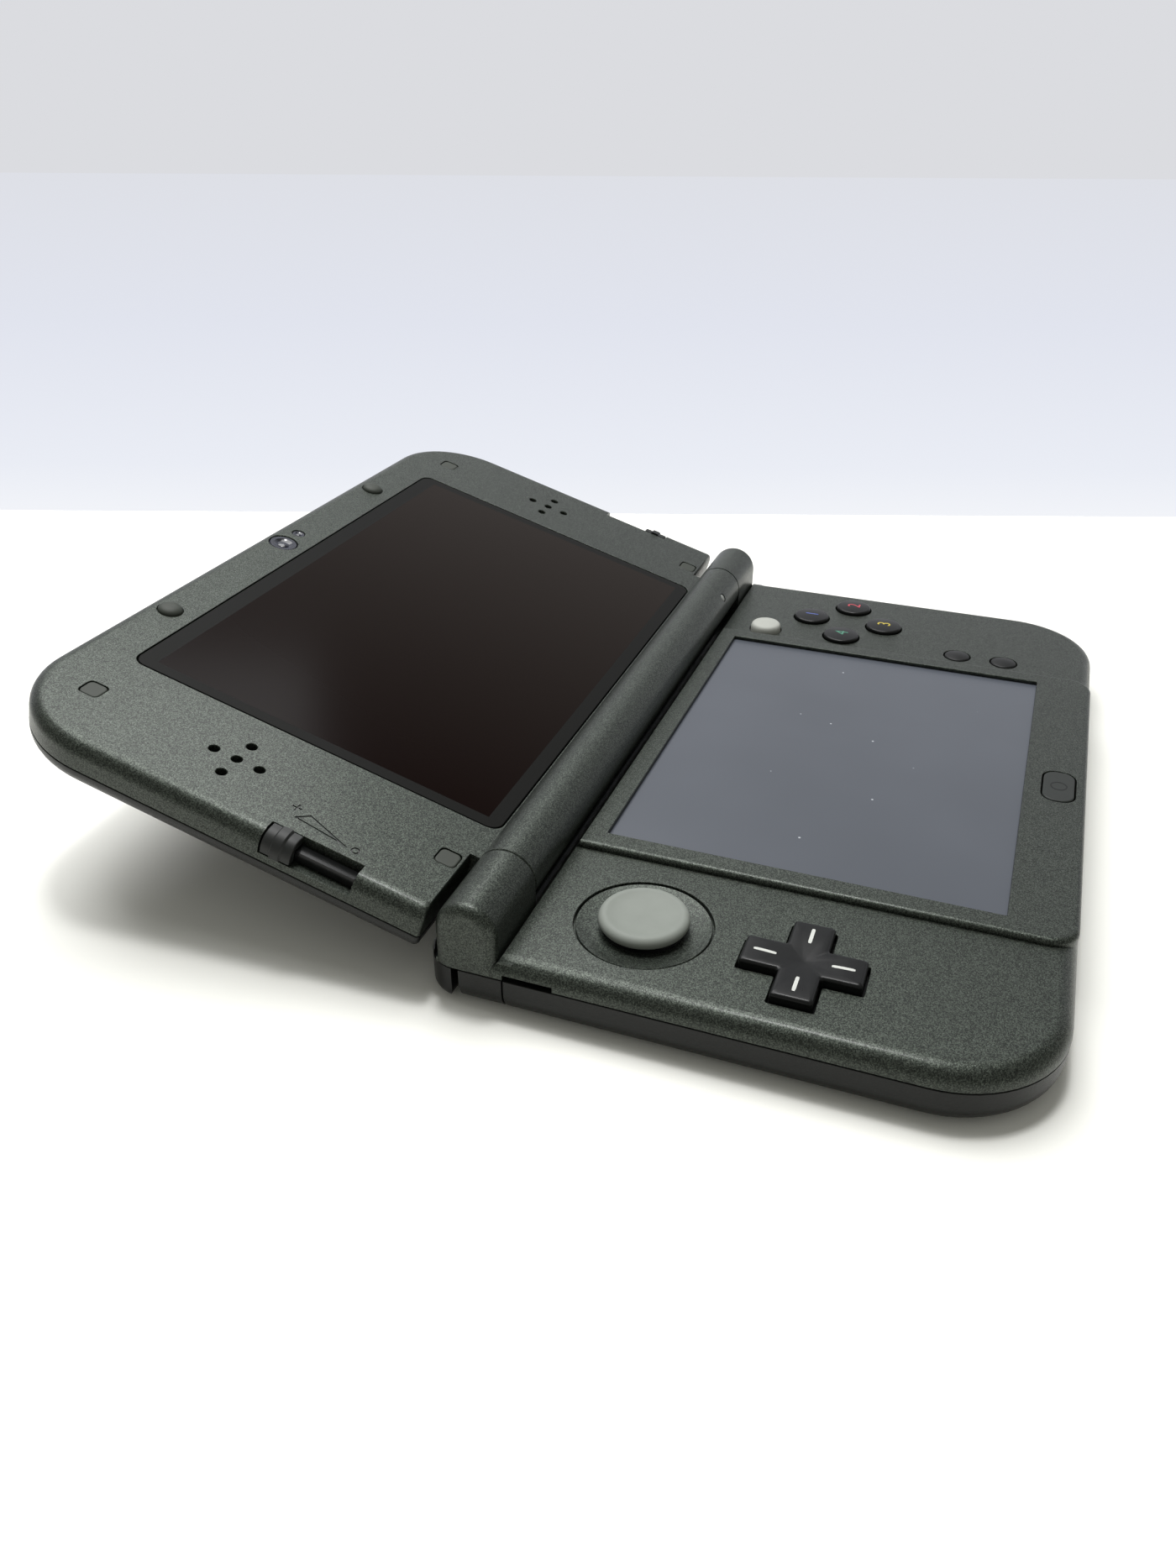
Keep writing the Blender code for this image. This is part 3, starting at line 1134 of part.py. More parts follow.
def shoulder_plan(side, inset):
    """Plan outline of a shoulder button: square inner end, outer back corner on the arc of the case."""
    arc_x = HALF_WIDTH - PART_GAP - BACK_CORNER
    arc_y = HALF_DEPTH - BACK_CORNER
    radius = BACK_CORNER - inset
    front = CORNER_BACK_Y + SHOULDER_FRONT_GAP + inset
    first = math.asin((front - arc_y) / radius)
    inner = SHOULDER_END_X + inset
    points = [(inner, front)]
    steps = 5
    for step in range(steps + 1):
        angle = first + (math.pi / 2 - first) * step / steps
        points.append((arc_x + radius * math.cos(angle), arc_y + radius * math.sin(angle)))
    points.append((inner, HALF_DEPTH - inset))
    return [(side * x, y) for x, y in points]


def trigger_plan(side, inset):
    """Plan outline of the small trigger beside a shoulder button."""
    x_low, x_high = sorted(
        (side * (TRIGGER_INNER_X + inset), side * (SHOULDER_END_X - PART_GAP - inset))
    )
    front = CORNER_BACK_Y + SHOULDER_FRONT_GAP + inset
    back = HALF_DEPTH - TRIGGER_BACK_INSET - inset
    return rounded_plan(x_low, x_high, front, back, (PART_GAP,) * 4, 1)


def back_buttons():
    """Left and right shoulder buttons, which wrap the corners, and the small triggers beside them."""
    flat_top = SEAM_HEIGHT - 2 * PART_GAP
    middle = (CORNER_BACK_Y + SHOULDER_FRONT_GAP + HALF_DEPTH) / 2
    for side, label in ((-1, "left"), (1, "right")):
        levels = []
        for inset, rise in quarter(SHOULDER_ROUND, 3):
            levels.append((shoulder_plan(side, inset), SHOULDER_BOTTOM + rise))
        for inset, rise in reversed(quarter(SHOULDER_TOP_ROUND, 3)):
            levels.append((shoulder_plan(side, inset), SHOULDER_TOP - rise))
        pivot = (side * SHOULDER_PIVOT_X, middle, SHOULDER_BOTTOM)
        button = solid("shoulder_button_" + label, plan_loft(levels), BLACK, 0.35, 0.0, pivot)
        step_x = HALF_WIDTH + OVERRUN
        step_low = (-step_x, CORNER_BACK_Y - OVERRUN, flat_top)
        step_high = (step_x, HALF_DEPTH - SHOULDER_LIP, SHOULDER_TOP + OVERRUN)
        cut(button, box(step_low, step_high), "knuckle_step")

        levels = []
        for inset, rise in quarter(SHOULDER_ROUND, 2):
            levels.append((trigger_plan(side, inset), SHOULDER_BOTTOM + rise))
        for inset, rise in reversed(quarter(SHOULDER_TOP_ROUND, 2)):
            levels.append((trigger_plan(side, inset), flat_top - rise))
        pivot = (side * (TRIGGER_INNER_X + SHOULDER_ROUND), middle, SHOULDER_BOTTOM)
        solid("inner_trigger_" + label, plan_loft(levels), BLACK, 0.35, 0.0, pivot)


power_button()
stylus()
back_buttons()


# Hinge: a pin fixed in each knuckle turns in a cartridge that is fixed in the lid's barrel.
PIN_REACH = 0.0121
CARTRIDGE_END_WALL = 0.0020
CARTRIDGE_RADIUS = 0.0033
PIN_INNER_X = KNUCKLE_START - PIN_REACH
CARTRIDGE_INNER_X = PIN_INNER_X - CARTRIDGE_END_WALL
BARREL_BORE_RADIUS = CARTRIDGE_RADIUS + PART_GAP
hinge_axis = bpy.data.objects.new("lid_hinge_axis", None)
bpy.context.scene.collection.objects.link(hinge_axis)
hinge_axis.location = (0, HINGE_Y, HINGE_HEIGHT)
hinge_axis.rotation_euler = (math.radians(LID_TILT_DEG), 0, 0)


def hinges():
    """Pins of the base and cartridges of the lid."""
    for side, label in ((-1, "left"), (1, "right")):
        pin_end = KNUCKLE_START + PIN_BORE_DEPTH - PART_GAP
        pin = [
            (PIN_RADIUS - PART_GAP, side * PIN_INNER_X),
            (PIN_RADIUS, side * (PIN_INNER_X + PART_GAP)),
            (PIN_RADIUS, side * pin_end),
        ]
        solid("hinge_pin_" + label, turned_on_x(HINGE_Y, HINGE_HEIGHT, pin, 16), STEEL, 0.3, 1.0)
        outer_x = BARREL_HALF - PART_GAP
        outer = [(CARTRIDGE_RADIUS, side * CARTRIDGE_INNER_X), (CARTRIDGE_RADIUS, side * outer_x)]
        cartridge = solid(
            "hinge_cartridge_" + label, turned_on_x(0, 0, outer, 20), STEEL, 0.35, 1.0, (0, 0, 0), hinge_axis
        )
        bore = [(PIN_BORE_RADIUS, side * (PIN_INNER_X - PART_GAP)), (PIN_BORE_RADIUS, side * HALF_WIDTH)]
        cut(cartridge, turned_on_x(0, 0, bore, 16), "pin_bore", hinge_axis)


hinges()


# Lid: the lid's frame has its origin on the hinge axis, +Y up the lid and +Z out of its inner face.
LID_TOP_CORNER = 0.0180
LID_SKIN = 0.0018
LID_EDGE_ROUND = 0.0026
LID_HINGE_ROUND = 0.0005
LENS_RECESS = 0.0010
LENS_CORNER = 0.0022
LENS_LEDGE = 0.0023
NECK_DROP = 0.0047
SPEAKER_FROM_SIDE = 0.0130
SPEAKER_Y = 0.0474
SPEAKER_HOLE_RADIUS = 0.0009
SPEAKER_HOLE_PITCH = 0.00425
TOP_ROW_SETBACK = 0.0049
INNER_CAMERA_RADIUS = 0.0028
INFRARED_X = 0.0059
INFRARED_RADIUS = 0.00125
BUMPER_X = 0.0380
BUMPER_RADIUS = 0.0022
BUMPER_RECESS = 0.0006
BUMPER_RISE = 0.0010
PLUG_FROM_SIDE = 0.0134
PLUG_FROM_HINGE_EDGE = 0.0028
PLUG_FROM_TOP = 0.0110
PLUG_SIZE = 0.0036
PLUG_ROUND = 0.0009
PLUG_RECESS = 0.0009
SLOT_LOW_Y = 0.0186
SLOT_LENGTH = 0.0161
SLOT_DEPTH = 0.0037
SLOT_DROP = 0.0037
SLOT_WALL = 0.0010
LIGHT_INSET = 0.0121
LIGHT_ANGLE_DEG = 130.0
LIGHT_RADIUS = 0.0009
SPEAKER_X = HALF_WIDTH - SPEAKER_FROM_SIDE
TOP_ROW_Y = LID_REACH - TOP_ROW_SETBACK
PLUG_X = HALF_WIDTH - PLUG_FROM_SIDE
PLUG_PLACES = {"lower": LID_HINGE_EDGE + PLUG_FROM_HINGE_EDGE, "upper": LID_REACH - PLUG_FROM_TOP}
SLOT_HIGH_Y = SLOT_LOW_Y + SLOT_LENGTH
SLOT_INNER_X = HALF_WIDTH - SLOT_DEPTH
SLOT_FLOOR = LID_FACE_RISE - SLOT_DROP
LIGHT_X = KNUCKLE_START - LIGHT_INSET


def lid_plan(inset, hinge_inset, corner=LID_TOP_CORNER):
    """Outline of the lid in its own frame."""
    half = HALF_WIDTH - inset
    top = corner - inset
    small = LID_HINGE_ROUND + PART_GAP
    start = LID_HINGE_EDGE + hinge_inset
    return rounded_plan(-half, half, start, LID_REACH - inset, (small, small, top, top), 6)


def slot_block(side, low, high, inner_x, outer_x):
    """Box at one edge of the lid, given by its lowest and highest Y and Z."""
    x_low, x_high = sorted((side * inner_x, side * outer_x))
    return box((x_low, low[0], low[1]), (x_high, high[0], high[1]))


def lid_bezel():
    """Inner half of the lid, with the hinge barrel along its lower edge."""
    face = LID_FACE_RISE
    ceiling = face - LID_SKIN
    rim = face - LID_RIM_DEPTH
    levels = [
        (lid_plan(WALL + LID_EDGE_ROUND / 2, WALL), ceiling),
        (lid_plan(WALL, WALL), ceiling - LID_EDGE_ROUND / 2),
        (lid_plan(WALL, WALL), rim),
        (lid_plan(0, 0), rim),
    ]
    for inset, drop in reversed(quarter(LID_EDGE_ROUND, 4)):
        hinge_inset = LID_HINGE_ROUND * inset / LID_EDGE_ROUND
        levels.append((lid_plan(inset, hinge_inset), face - drop))
    bezel = solid("lid_bezel", plan_loft(levels), GUNMETAL, 0.42, 0.35, (0, 0, 0), hinge_axis)

    neck_low = (-BARREL_HALF + PART_GAP, BARREL_RADIUS / 2, face - NECK_DROP)
    neck_high = (BARREL_HALF - PART_GAP, LID_HINGE_EDGE + WALL + LID_HINGE_ROUND, face)
    join(bezel, box(neck_low, neck_high), "neck", hinge_axis)
    barrel = [(BARREL_RADIUS, -BARREL_HALF), (BARREL_RADIUS, BARREL_HALF)]
    join(bezel, turned_on_x(0, 0, barrel, 40), "barrel", hinge_axis)
    bore = [(BARREL_BORE_RADIUS, -HALF_WIDTH), (BARREL_BORE_RADIUS, HALF_WIDTH)]
    cut(bezel, turned_on_x(0, 0, bore, 24), "barrel_bore", hinge_axis)
    return bezel


def lid_openings(bezel):
    """Lens bed, sound holes, camera hole, bumper and plug recesses, slider slots."""
    face = LID_FACE_RISE
    above = face + OVERRUN
    bed_width = LENS_WIDTH + 2 * PART_GAP
    bed_depth = LENS_DEPTH + 2 * PART_GAP
    bed_floor = face - LENS_RECESS
    bed = rounded_block(0, LENS_MID_Y, bed_width, bed_depth, LENS_CORNER + PART_GAP, bed_floor, above)
    cut(bezel, bed, "lens_bed", hinge_axis)
    width = LENS_WIDTH - 2 * LENS_LEDGE
    depth = LENS_DEPTH - 2 * LENS_LEDGE
    window = rounded_block(0, LENS_MID_Y, width, depth, PART_GAP, face - LID_SKIN - OVERRUN, above, 1)
    cut(bezel, window, "display_window", hinge_axis)

    below = face - LID_SKIN - OVERRUN
    pieces = []
    for side in (-1, 1):
        for dx, dy in ((0, 0), (1, 0), (-1, 0), (0, 1), (0, -1)):
            x = side * SPEAKER_X + dx * SPEAKER_HOLE_PITCH
            y = SPEAKER_Y + dy * SPEAKER_HOLE_PITCH
            pieces.append(turned(x, y, [(SPEAKER_HOLE_RADIUS, below), (SPEAKER_HOLE_RADIUS, above)], 10))
        radius = BUMPER_RADIUS + PART_GAP
        recess = [(radius, face - BUMPER_RECESS), (radius, above)]
        pieces.append(turned(side * BUMPER_X, TOP_ROW_Y, recess, 20))
        for y in PLUG_PLACES.values():
            size = PLUG_SIZE + 2 * PART_GAP
            low = face - PLUG_RECESS
            pieces.append(rounded_block(side * PLUG_X, y, size, size, PLUG_ROUND + PART_GAP, low, above, 2))
    for x, radius in ((0, INNER_CAMERA_RADIUS + PART_GAP), (INFRARED_X, INFRARED_RADIUS + PART_GAP)):
        pieces.append(turned(x, TOP_ROW_Y, [(radius, below), (radius, above)], 20))
    cut(bezel, together(*pieces), "face_holes", hinge_axis)

    for side, label in ((-1, "volume"), (1, "depth")):
        low = (SLOT_LOW_Y - SLOT_WALL, SLOT_FLOOR - SLOT_WALL)
        high = (SLOT_HIGH_Y + SLOT_WALL, face - LID_SKIN / 2)
        housing = slot_block(side, low, high, SLOT_INNER_X - SLOT_WALL, HALF_WIDTH - WALL / 2)
        join(bezel, housing, label + "_slot_housing", hinge_axis)
        space = slot_block(
            side, (SLOT_LOW_Y, SLOT_FLOOR), (SLOT_HIGH_Y, above), SLOT_INNER_X, HALF_WIDTH + OVERRUN
        )
        cut(bezel, space, label + "_slot", hinge_axis)

    angle = math.radians(LIGHT_ANGLE_DEG)
    light_bore = LIGHT_RADIUS + PART_GAP
    shaft = peg_on_axis(LIGHT_X, angle, light_bore, BARREL_BORE_RADIUS - PART_GAP, BARREL_RADIUS + OVERRUN)
    cut(bezel, shaft, "light_hole", hinge_axis)


lid_openings(lid_bezel())


# Lid, outer half and the pieces between the halves.
LID_OUTER_ROUND = 0.0030
LID_COVER_FLOOR = 0.0013
OUTER_CAMERA_X = 0.0175
OUTER_CAMERA_FROM_TOP = 0.0110
OUTER_CAMERA_RADIUS = 0.0023
CAMERA_SINK = 0.0002
CAMERA_FLANGE = 0.0011
CAMERA_DEPTH = 0.0026
INNER_CAMERA_DEPTH = 0.0036
UPPER_DISPLAY_MARGIN = 0.0010
UPPER_DISPLAY_THICKNESS = 0.0018
SPEAKER_WIDTH = 0.0130
SPEAKER_DEPTH = 0.0220
SPEAKER_THICKNESS = 0.0024
SPEAKER_CORNER = 0.0020
OUTER_CAMERA_Y = LID_REACH - OUTER_CAMERA_FROM_TOP
UPPER_DISPLAY_START = LID_HINGE_EDGE + WALL + LID_HINGE_ROUND + PART_GAP
UPPER_DISPLAY_END = LENS_START + LENS_DEPTH - UPPER_DISPLAY_MARGIN


def lid_cover():
    """Outer half of the lid: a shallow tub, rounded all round, with two camera holes."""
    outside = LID_FACE_RISE - LID_THICKNESS
    rim = LID_FACE_RISE - LID_RIM_DEPTH - PART_GAP
    levels = [(lid_plan(inset, inset / 2), outside + rise) for inset, rise in quarter(LID_OUTER_ROUND, 4)]
    levels.append((lid_plan(0, 0), rim))
    levels.append((lid_plan(WALL, WALL), rim))
    floor = outside + LID_COVER_FLOOR
    for inset, rise in reversed(quarter(LID_OUTER_ROUND - LID_COVER_FLOOR, 3)):
        levels.append((lid_plan(WALL + inset, WALL + inset / 2), floor + rise))
    cover = solid("lid_cover", plan_loft(levels), GUNMETAL, 0.42, 0.35, (0, 0, 0), hinge_axis)
    for side, label in ((-1, "left"), (1, "right")):
        radius = OUTER_CAMERA_RADIUS + PART_GAP
        hole = [(radius, outside - OVERRUN), (radius, floor + OVERRUN)]
        hole_form = turned(side * OUTER_CAMERA_X, OUTER_CAMERA_Y, hole, 20)
        cut(cover, hole_form, label + "_camera_hole", hinge_axis)
        flange = OUTER_CAMERA_RADIUS + CAMERA_FLANGE
        camera = [
            (OUTER_CAMERA_RADIUS, outside + CAMERA_SINK),
            (OUTER_CAMERA_RADIUS, floor + PART_GAP),
            (flange, floor + PART_GAP),
            (flange, outside + CAMERA_DEPTH),
        ]
        form = turned(side * OUTER_CAMERA_X, OUTER_CAMERA_Y, camera, 20)
        solid("outer_camera_" + label, form, BLACK, 0.2, 0.0, (0, 0, 0), hinge_axis)


def lid_screen():
    """Flush lens and the display behind it."""
    face = LID_FACE_RISE
    lens_low = face - LENS_RECESS + PART_GAP
    lens = rounded_block(0, LENS_MID_Y, LENS_WIDTH, LENS_DEPTH, LENS_CORNER, lens_low, face)
    solid("upper_screen_lens", lens, SCREEN_BLACK, 0.12, 0.0, (0, 0, 0), hinge_axis)
    top = face - LID_SKIN - PART_GAP
    half = LENS_WIDTH / 2 - UPPER_DISPLAY_MARGIN
    low = (-half, UPPER_DISPLAY_START, top - UPPER_DISPLAY_THICKNESS)
    display = box(low, (half, UPPER_DISPLAY_END, top))
    solid("upper_display", display, SCREEN_BLACK, 0.3, 0.0, (0, 0, 0), hinge_axis)


def lid_fittings():
    """Inner camera, infrared lens, speakers, bumpers, screw covers and the light in the barrel."""
    face = LID_FACE_RISE
    camera = [
        (INNER_CAMERA_RADIUS, face - INNER_CAMERA_DEPTH),
        (INNER_CAMERA_RADIUS, face - CAMERA_SINK),
    ]
    solid("inner_camera", turned(0, TOP_ROW_Y, camera, 24), BLACK, 0.15, 0.0, (0, 0, 0), hinge_axis)
    sensor = [(INFRARED_RADIUS, face - INNER_CAMERA_DEPTH), (INFRARED_RADIUS, face - CAMERA_SINK)]
    solid("infrared_lens", turned(INFRARED_X, TOP_ROW_Y, sensor, 16), BLACK, 0.15, 0.0, (0, 0, 0), hinge_axis)
    speaker_top = face - LID_SKIN - PART_GAP
    for side, label in ((-1, "left"), (1, "right")):
        speaker = rounded_block(
            side * SPEAKER_X,
            SPEAKER_Y,
            SPEAKER_WIDTH,
            SPEAKER_DEPTH,
            SPEAKER_CORNER,
            speaker_top - SPEAKER_THICKNESS,
            speaker_top,
            2,
        )
        solid("speaker_" + label, speaker, BLACK, 0.6, 0.0, (0, 0, 0), hinge_axis)
        foot = face - BUMPER_RECESS + PART_GAP
        dome = BUMPER_RISE / 4
        bumper = [
            (BUMPER_RADIUS, foot),
            (BUMPER_RADIUS, face + 2 * dome),
            (BUMPER_RADIUS - dome, face + 3 * dome),
            (BUMPER_RADIUS / 2, face + BUMPER_RISE),
        ]
        solid(
            "bumper_" + label,
            turned(side * BUMPER_X, TOP_ROW_Y, bumper, 20),
            GUNMETAL_DARK,
            0.7,
            0.0,
            (0, 0, 0),
            hinge_axis,
        )
        for row, y in PLUG_PLACES.items():
            low = face - PLUG_RECESS + PART_GAP
            plug = rounded_block(side * PLUG_X, y, PLUG_SIZE, PLUG_SIZE, PLUG_ROUND, low, face, 2)
            solid(
                "screw_cover_" + row + "_" + label, plug, GUNMETAL_DARK, 0.6, 0.0, (0, 0, 0), hinge_axis
            )
    angle = math.radians(LIGHT_ANGLE_DEG)
    light = peg_on_axis(LIGHT_X, angle, LIGHT_RADIUS, BARREL_BORE_RADIUS + PART_GAP, BARREL_RADIUS)
    solid("indicator_light", light, NUB_GREY, 0.3, 0.0, (0, 0, 0), hinge_axis)


lid_cover()
lid_screen()
lid_fittings()


# Lid sliders: volume on the left edge, depth on the right edge, each a cap that wraps a fixed track.
KNOB_LENGTH = 0.0052
KNOB_SKIN = 0.0013
KNOB_RIB = 0.00035
KNOB_RIB_LENGTH = 0.0014
KNOB_END_ROUND = 0.0002


def knob_section(side, growth):
    """Section of a knob across the lid's edge: the edge's own round, then the inner corner over the track."""
    arc_x = HALF_WIDTH - LID_EDGE_ROUND
    arc_z = LID_FACE_RISE - LID_EDGE_ROUND
    radius = LID_EDGE_ROUND + growth
    inner_x = SLOT_INNER_X + PART_GAP
    low_z = SLOT_FLOOR + PART_GAP
    under_x = HALF_WIDTH - KNOB_SKIN
    under_z = LID_FACE_RISE - KNOB_SKIN
    points = [(inner_x, LID_FACE_RISE + growth)]
    steps = 4
    for step in range(steps + 1):
        angle = math.pi / 2 * (1 - step / steps)
        points.append((arc_x + radius * math.cos(angle), arc_z + radius * math.sin(angle)))
    points += [(HALF_WIDTH + growth, low_z), (under_x, low_z), (under_x, under_z), (inner_x, under_z)]
    return [(side * x, z) for x, z in points]


def slider(name, side, start):
    """One slider: its knob from a start along the lid, and the track that it runs over."""
    end = start + KNOB_LENGTH
    middle = (start + end) / 2
    half_rib = KNOB_RIB_LENGTH / 2
    sections = [
        (start, -KNOB_END_ROUND),
        (start + KNOB_END_ROUND, 0),
        (middle - half_rib - KNOB_RIB, 0),
        (middle - half_rib, KNOB_RIB),
        (middle + half_rib, KNOB_RIB),
        (middle + half_rib + KNOB_RIB, 0),
        (end - KNOB_END_ROUND, 0),
        (end, -KNOB_END_ROUND),
    ]
    rings = [[(x, y, z) for x, z in knob_section(side, growth)] for y, growth in sections]
    origin = (side * (HALF_WIDTH - KNOB_SKIN), middle, LID_FACE_RISE - KNOB_SKIN)
    solid(name + "_slider", loft(rings), BLACK, 0.55, 0.0, origin, hinge_axis)
    low = (SLOT_LOW_Y + PART_GAP, SLOT_FLOOR + PART_GAP)
    high = (SLOT_HIGH_Y - PART_GAP, LID_FACE_RISE - KNOB_SKIN - PART_GAP)
    track = slot_block(side, low, high, SLOT_INNER_X + PART_GAP, HALF_WIDTH - KNOB_SKIN - PART_GAP)
    solid(name + "_track", track, BLACK, 0.25, 0.0, (0, 0, 0), hinge_axis)


slider("volume", -1, SLOT_HIGH_Y - PART_GAP - KNOB_LENGTH)
slider("depth", 1, SLOT_LOW_Y + PART_GAP)
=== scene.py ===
# Clamshell handheld game console, open on a white table: the looks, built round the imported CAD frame.
# Metres, in the frame of the CAD: +X to the player's right, -Y towards the player, +Z up.
import math
import bmesh
import bpy
import numpy as np
from mathutils import Matrix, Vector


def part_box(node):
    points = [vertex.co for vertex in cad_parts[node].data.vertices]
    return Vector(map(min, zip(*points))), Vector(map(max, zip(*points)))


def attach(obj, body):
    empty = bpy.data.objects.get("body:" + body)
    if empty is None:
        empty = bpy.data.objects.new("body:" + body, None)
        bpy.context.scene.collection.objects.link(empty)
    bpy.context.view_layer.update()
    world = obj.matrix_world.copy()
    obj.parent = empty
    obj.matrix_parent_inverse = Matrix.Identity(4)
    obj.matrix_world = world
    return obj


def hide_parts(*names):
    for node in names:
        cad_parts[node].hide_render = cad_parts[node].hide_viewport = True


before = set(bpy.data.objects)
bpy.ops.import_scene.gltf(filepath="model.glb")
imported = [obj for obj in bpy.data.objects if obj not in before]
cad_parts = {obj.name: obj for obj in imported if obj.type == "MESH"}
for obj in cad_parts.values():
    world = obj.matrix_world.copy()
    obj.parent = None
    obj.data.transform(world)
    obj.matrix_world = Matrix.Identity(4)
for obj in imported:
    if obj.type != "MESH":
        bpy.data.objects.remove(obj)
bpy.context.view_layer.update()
MM = 0.001

# Camera: a phone held low beyond the left edge, looking across the open console. Place, turn and lens
# were solved from the photograph; the lens is given for a frame 1400 wide and 1867 high.
CAMERA_PLACE = (-207.45 * MM, -27.06 * MM, 126.38 * MM)
CAMERA_TURN_DEG = (58.789, -0.284, -69.676)
CAMERA_LENS = 28.128

camera_data = bpy.data.cameras.new("camera")
camera_data.sensor_width = 36.0
camera_data.lens = CAMERA_LENS
camera_data.clip_start = 0.01
camera = bpy.data.objects.new("camera", camera_data)
camera.location = CAMERA_PLACE
camera.rotation_euler = [math.radians(turn) for turn in CAMERA_TURN_DEG]
bpy.context.scene.collection.objects.link(camera)
bpy.context.scene.camera = camera
bpy.context.scene.view_settings.view_transform = "Standard"

# Table and wall: a matt white laminate table and a painted wall well behind it. The table's far end glows with
# the wall's pale blue-grey, which darkens with distance as painted shade. Both are the stage and aren't part of
# the object.
TABLE_SIZE = 3.0
CAST_START = 0.372
# Tones of the far end's glow, palest first. The darkening is painted shade, as on a lit wall that darkens
# upwards.
BACKDROP_SHADED_TONES = ("#f2f4f9", "#eaedf5", "#e1e4ee", "#dbdce0")
CAST_SHARES = (0.12, 0.45)
TABLE_WHITE = "#fbfbf6"
# Painted shade: a darker copy of the table, met only by light bouncing onto the object. It stands in for the
# table's shade round the object.
TABLE_SHADED_FOR_BOUNCES = "#8f8f8b"
WALL_DISTANCE = 1.5
WALL_HEIGHT = 1.6
# Painted shade: a darker copy of the wall, met only by bounced light. The camera and mirrored rays see its
# plain tone.
WALL_SHADED_FOR_BOUNCES = "#505254"
VIEW_AZIMUTH_DEG = 20.15


def srgb(text):
    """Hex colour as linear RGBA: each share is divided by 12.92 when small, else raised to the power 2.4."""
    shares = np.array([int(text[i : i + 2], 16) for i in (1, 3, 5)]) / 255
    linear = np.where(shares <= 0.04045, shares / 12.92, ((shares + 0.055) / 1.055) ** 2.4)
    return (*linear.tolist(), 1.0)


def new_material(name):
    """Empty node material: returns the material, its tree and its Principled shader."""
    material = bpy.data.materials.new(name)
    material.use_nodes = True
    return material, material.node_tree, material.node_tree.nodes["Principled BSDF"]


def give(node, **inputs):
    """Set or link named inputs of a node; blanks in names are underscores, and i with a number is a place."""
    for key, value in inputs.items():
        place = int(key[1:]) if key[0] == "i" and key[1:].isdigit() else key.replace("_", " ")
        if isinstance(value, bpy.types.NodeSocket):
            node.id_data.links.new(value, node.inputs[place])
        else:
            node.inputs[place].default_value = value


def add(tree, kind, settings=None, **inputs):
    """Add a node, set its properties, then set or link its inputs."""
    made = tree.nodes.new(kind)
    for key, value in (settings or {}).items():
        setattr(made, key, value)
    give(made, **inputs)
    return made


def reckon(tree, operation, *values):
    """Result of one operation on one or two numbers."""
    inputs = {f"i{place}": value for place, value in enumerate(values)}
    return add(tree, "ShaderNodeMath", {"operation": operation}, **inputs).outputs[0]


def spot(tree):
    """Place on the object, in metres."""
    return add(tree, "ShaderNodeTexCoord").outputs["Object"]


def noise(tree, size, detail=2.0, **inputs):
    """Noise from 0 to 1 whose clouds have the given size."""
    made = add(tree, "ShaderNodeTexNoise", Vector=spot(tree), Scale=1 / size, Detail=detail, **inputs)
    return made.outputs["Fac"]


def ramp(tree, value, low, high, **inputs):
    """Number carried from its own range, 0 to 1 unless given, to the range from low to high."""
    return add(tree, "ShaderNodeMapRange", Value=value, To_Min=low, To_Max=high, **inputs).outputs["Result"]


def blend(tree, share, first, second):
    """Colour that goes from the first to the second as the share goes from 0 to 1."""
    return add(tree, "ShaderNodeMix", {"data_type": "RGBA"}, i0=share, i6=first, i7=second).outputs[2]


def bump(tree, height, strength, distance):
    """Normal tilted by the slope of a height."""
    return add(tree, "ShaderNodeBump", Height=height, Strength=strength, Distance=distance).outputs["Normal"]


def plane(name, corners, material):
    """One flat face through four corners."""
    mesh = bpy.data.meshes.new(name)
    mesh.from_pydata(corners, [], [(0, 1, 2, 3)])
    mesh.materials.append(material)
    made = bpy.data.objects.new(name, mesh)
    bpy.context.scene.collection.objects.link(made)
    return made


def seen_share(tree):
    """1 for rays that show the background: those from the camera, and those that gloss or glass send on."""
    ray = add(tree, "ShaderNodeLightPath").outputs
    mirrored = reckon(tree, "MAXIMUM", ray["Is Glossy Ray"], ray["Is Transmission Ray"])
    return reckon(tree, "MAXIMUM", ray["Is Camera Ray"], mirrored)


def show_background(tree, seen, lit):
    """Let rays that show the background see one shader, and all others meet another."""
    both = add(tree, "ShaderNodeMixShader", i0=seen_share(tree), i1=lit.outputs[0], i2=seen.outputs[0])
    tree.links.new(both.outputs[0], tree.nodes["Material Output"].inputs["Surface"])


view_x = math.cos(math.radians(VIEW_AZIMUTH_DEG))
view_y = math.sin(math.radians(VIEW_AZIMUTH_DEG))
table_paint, table_tree, table_shader = new_material("white_laminate")
foot = add(
    table_tree, "ShaderNodeVectorMath", {"operation": "SUBTRACT"},
    i0=spot(table_tree), i1=(*CAMERA_PLACE[:2], 0),
).outputs[0]
away = add(
    table_tree, "ShaderNodeVectorMath", {"operation": "DOT_PRODUCT"}, i0=foot, i1=(view_x, view_y, 0)
).outputs["Value"]
far = ramp(table_tree, reckon(table_tree, "DIVIDE", CAST_START, away), 0.0, 1.0, From_Min=1.0, From_Max=0.0)
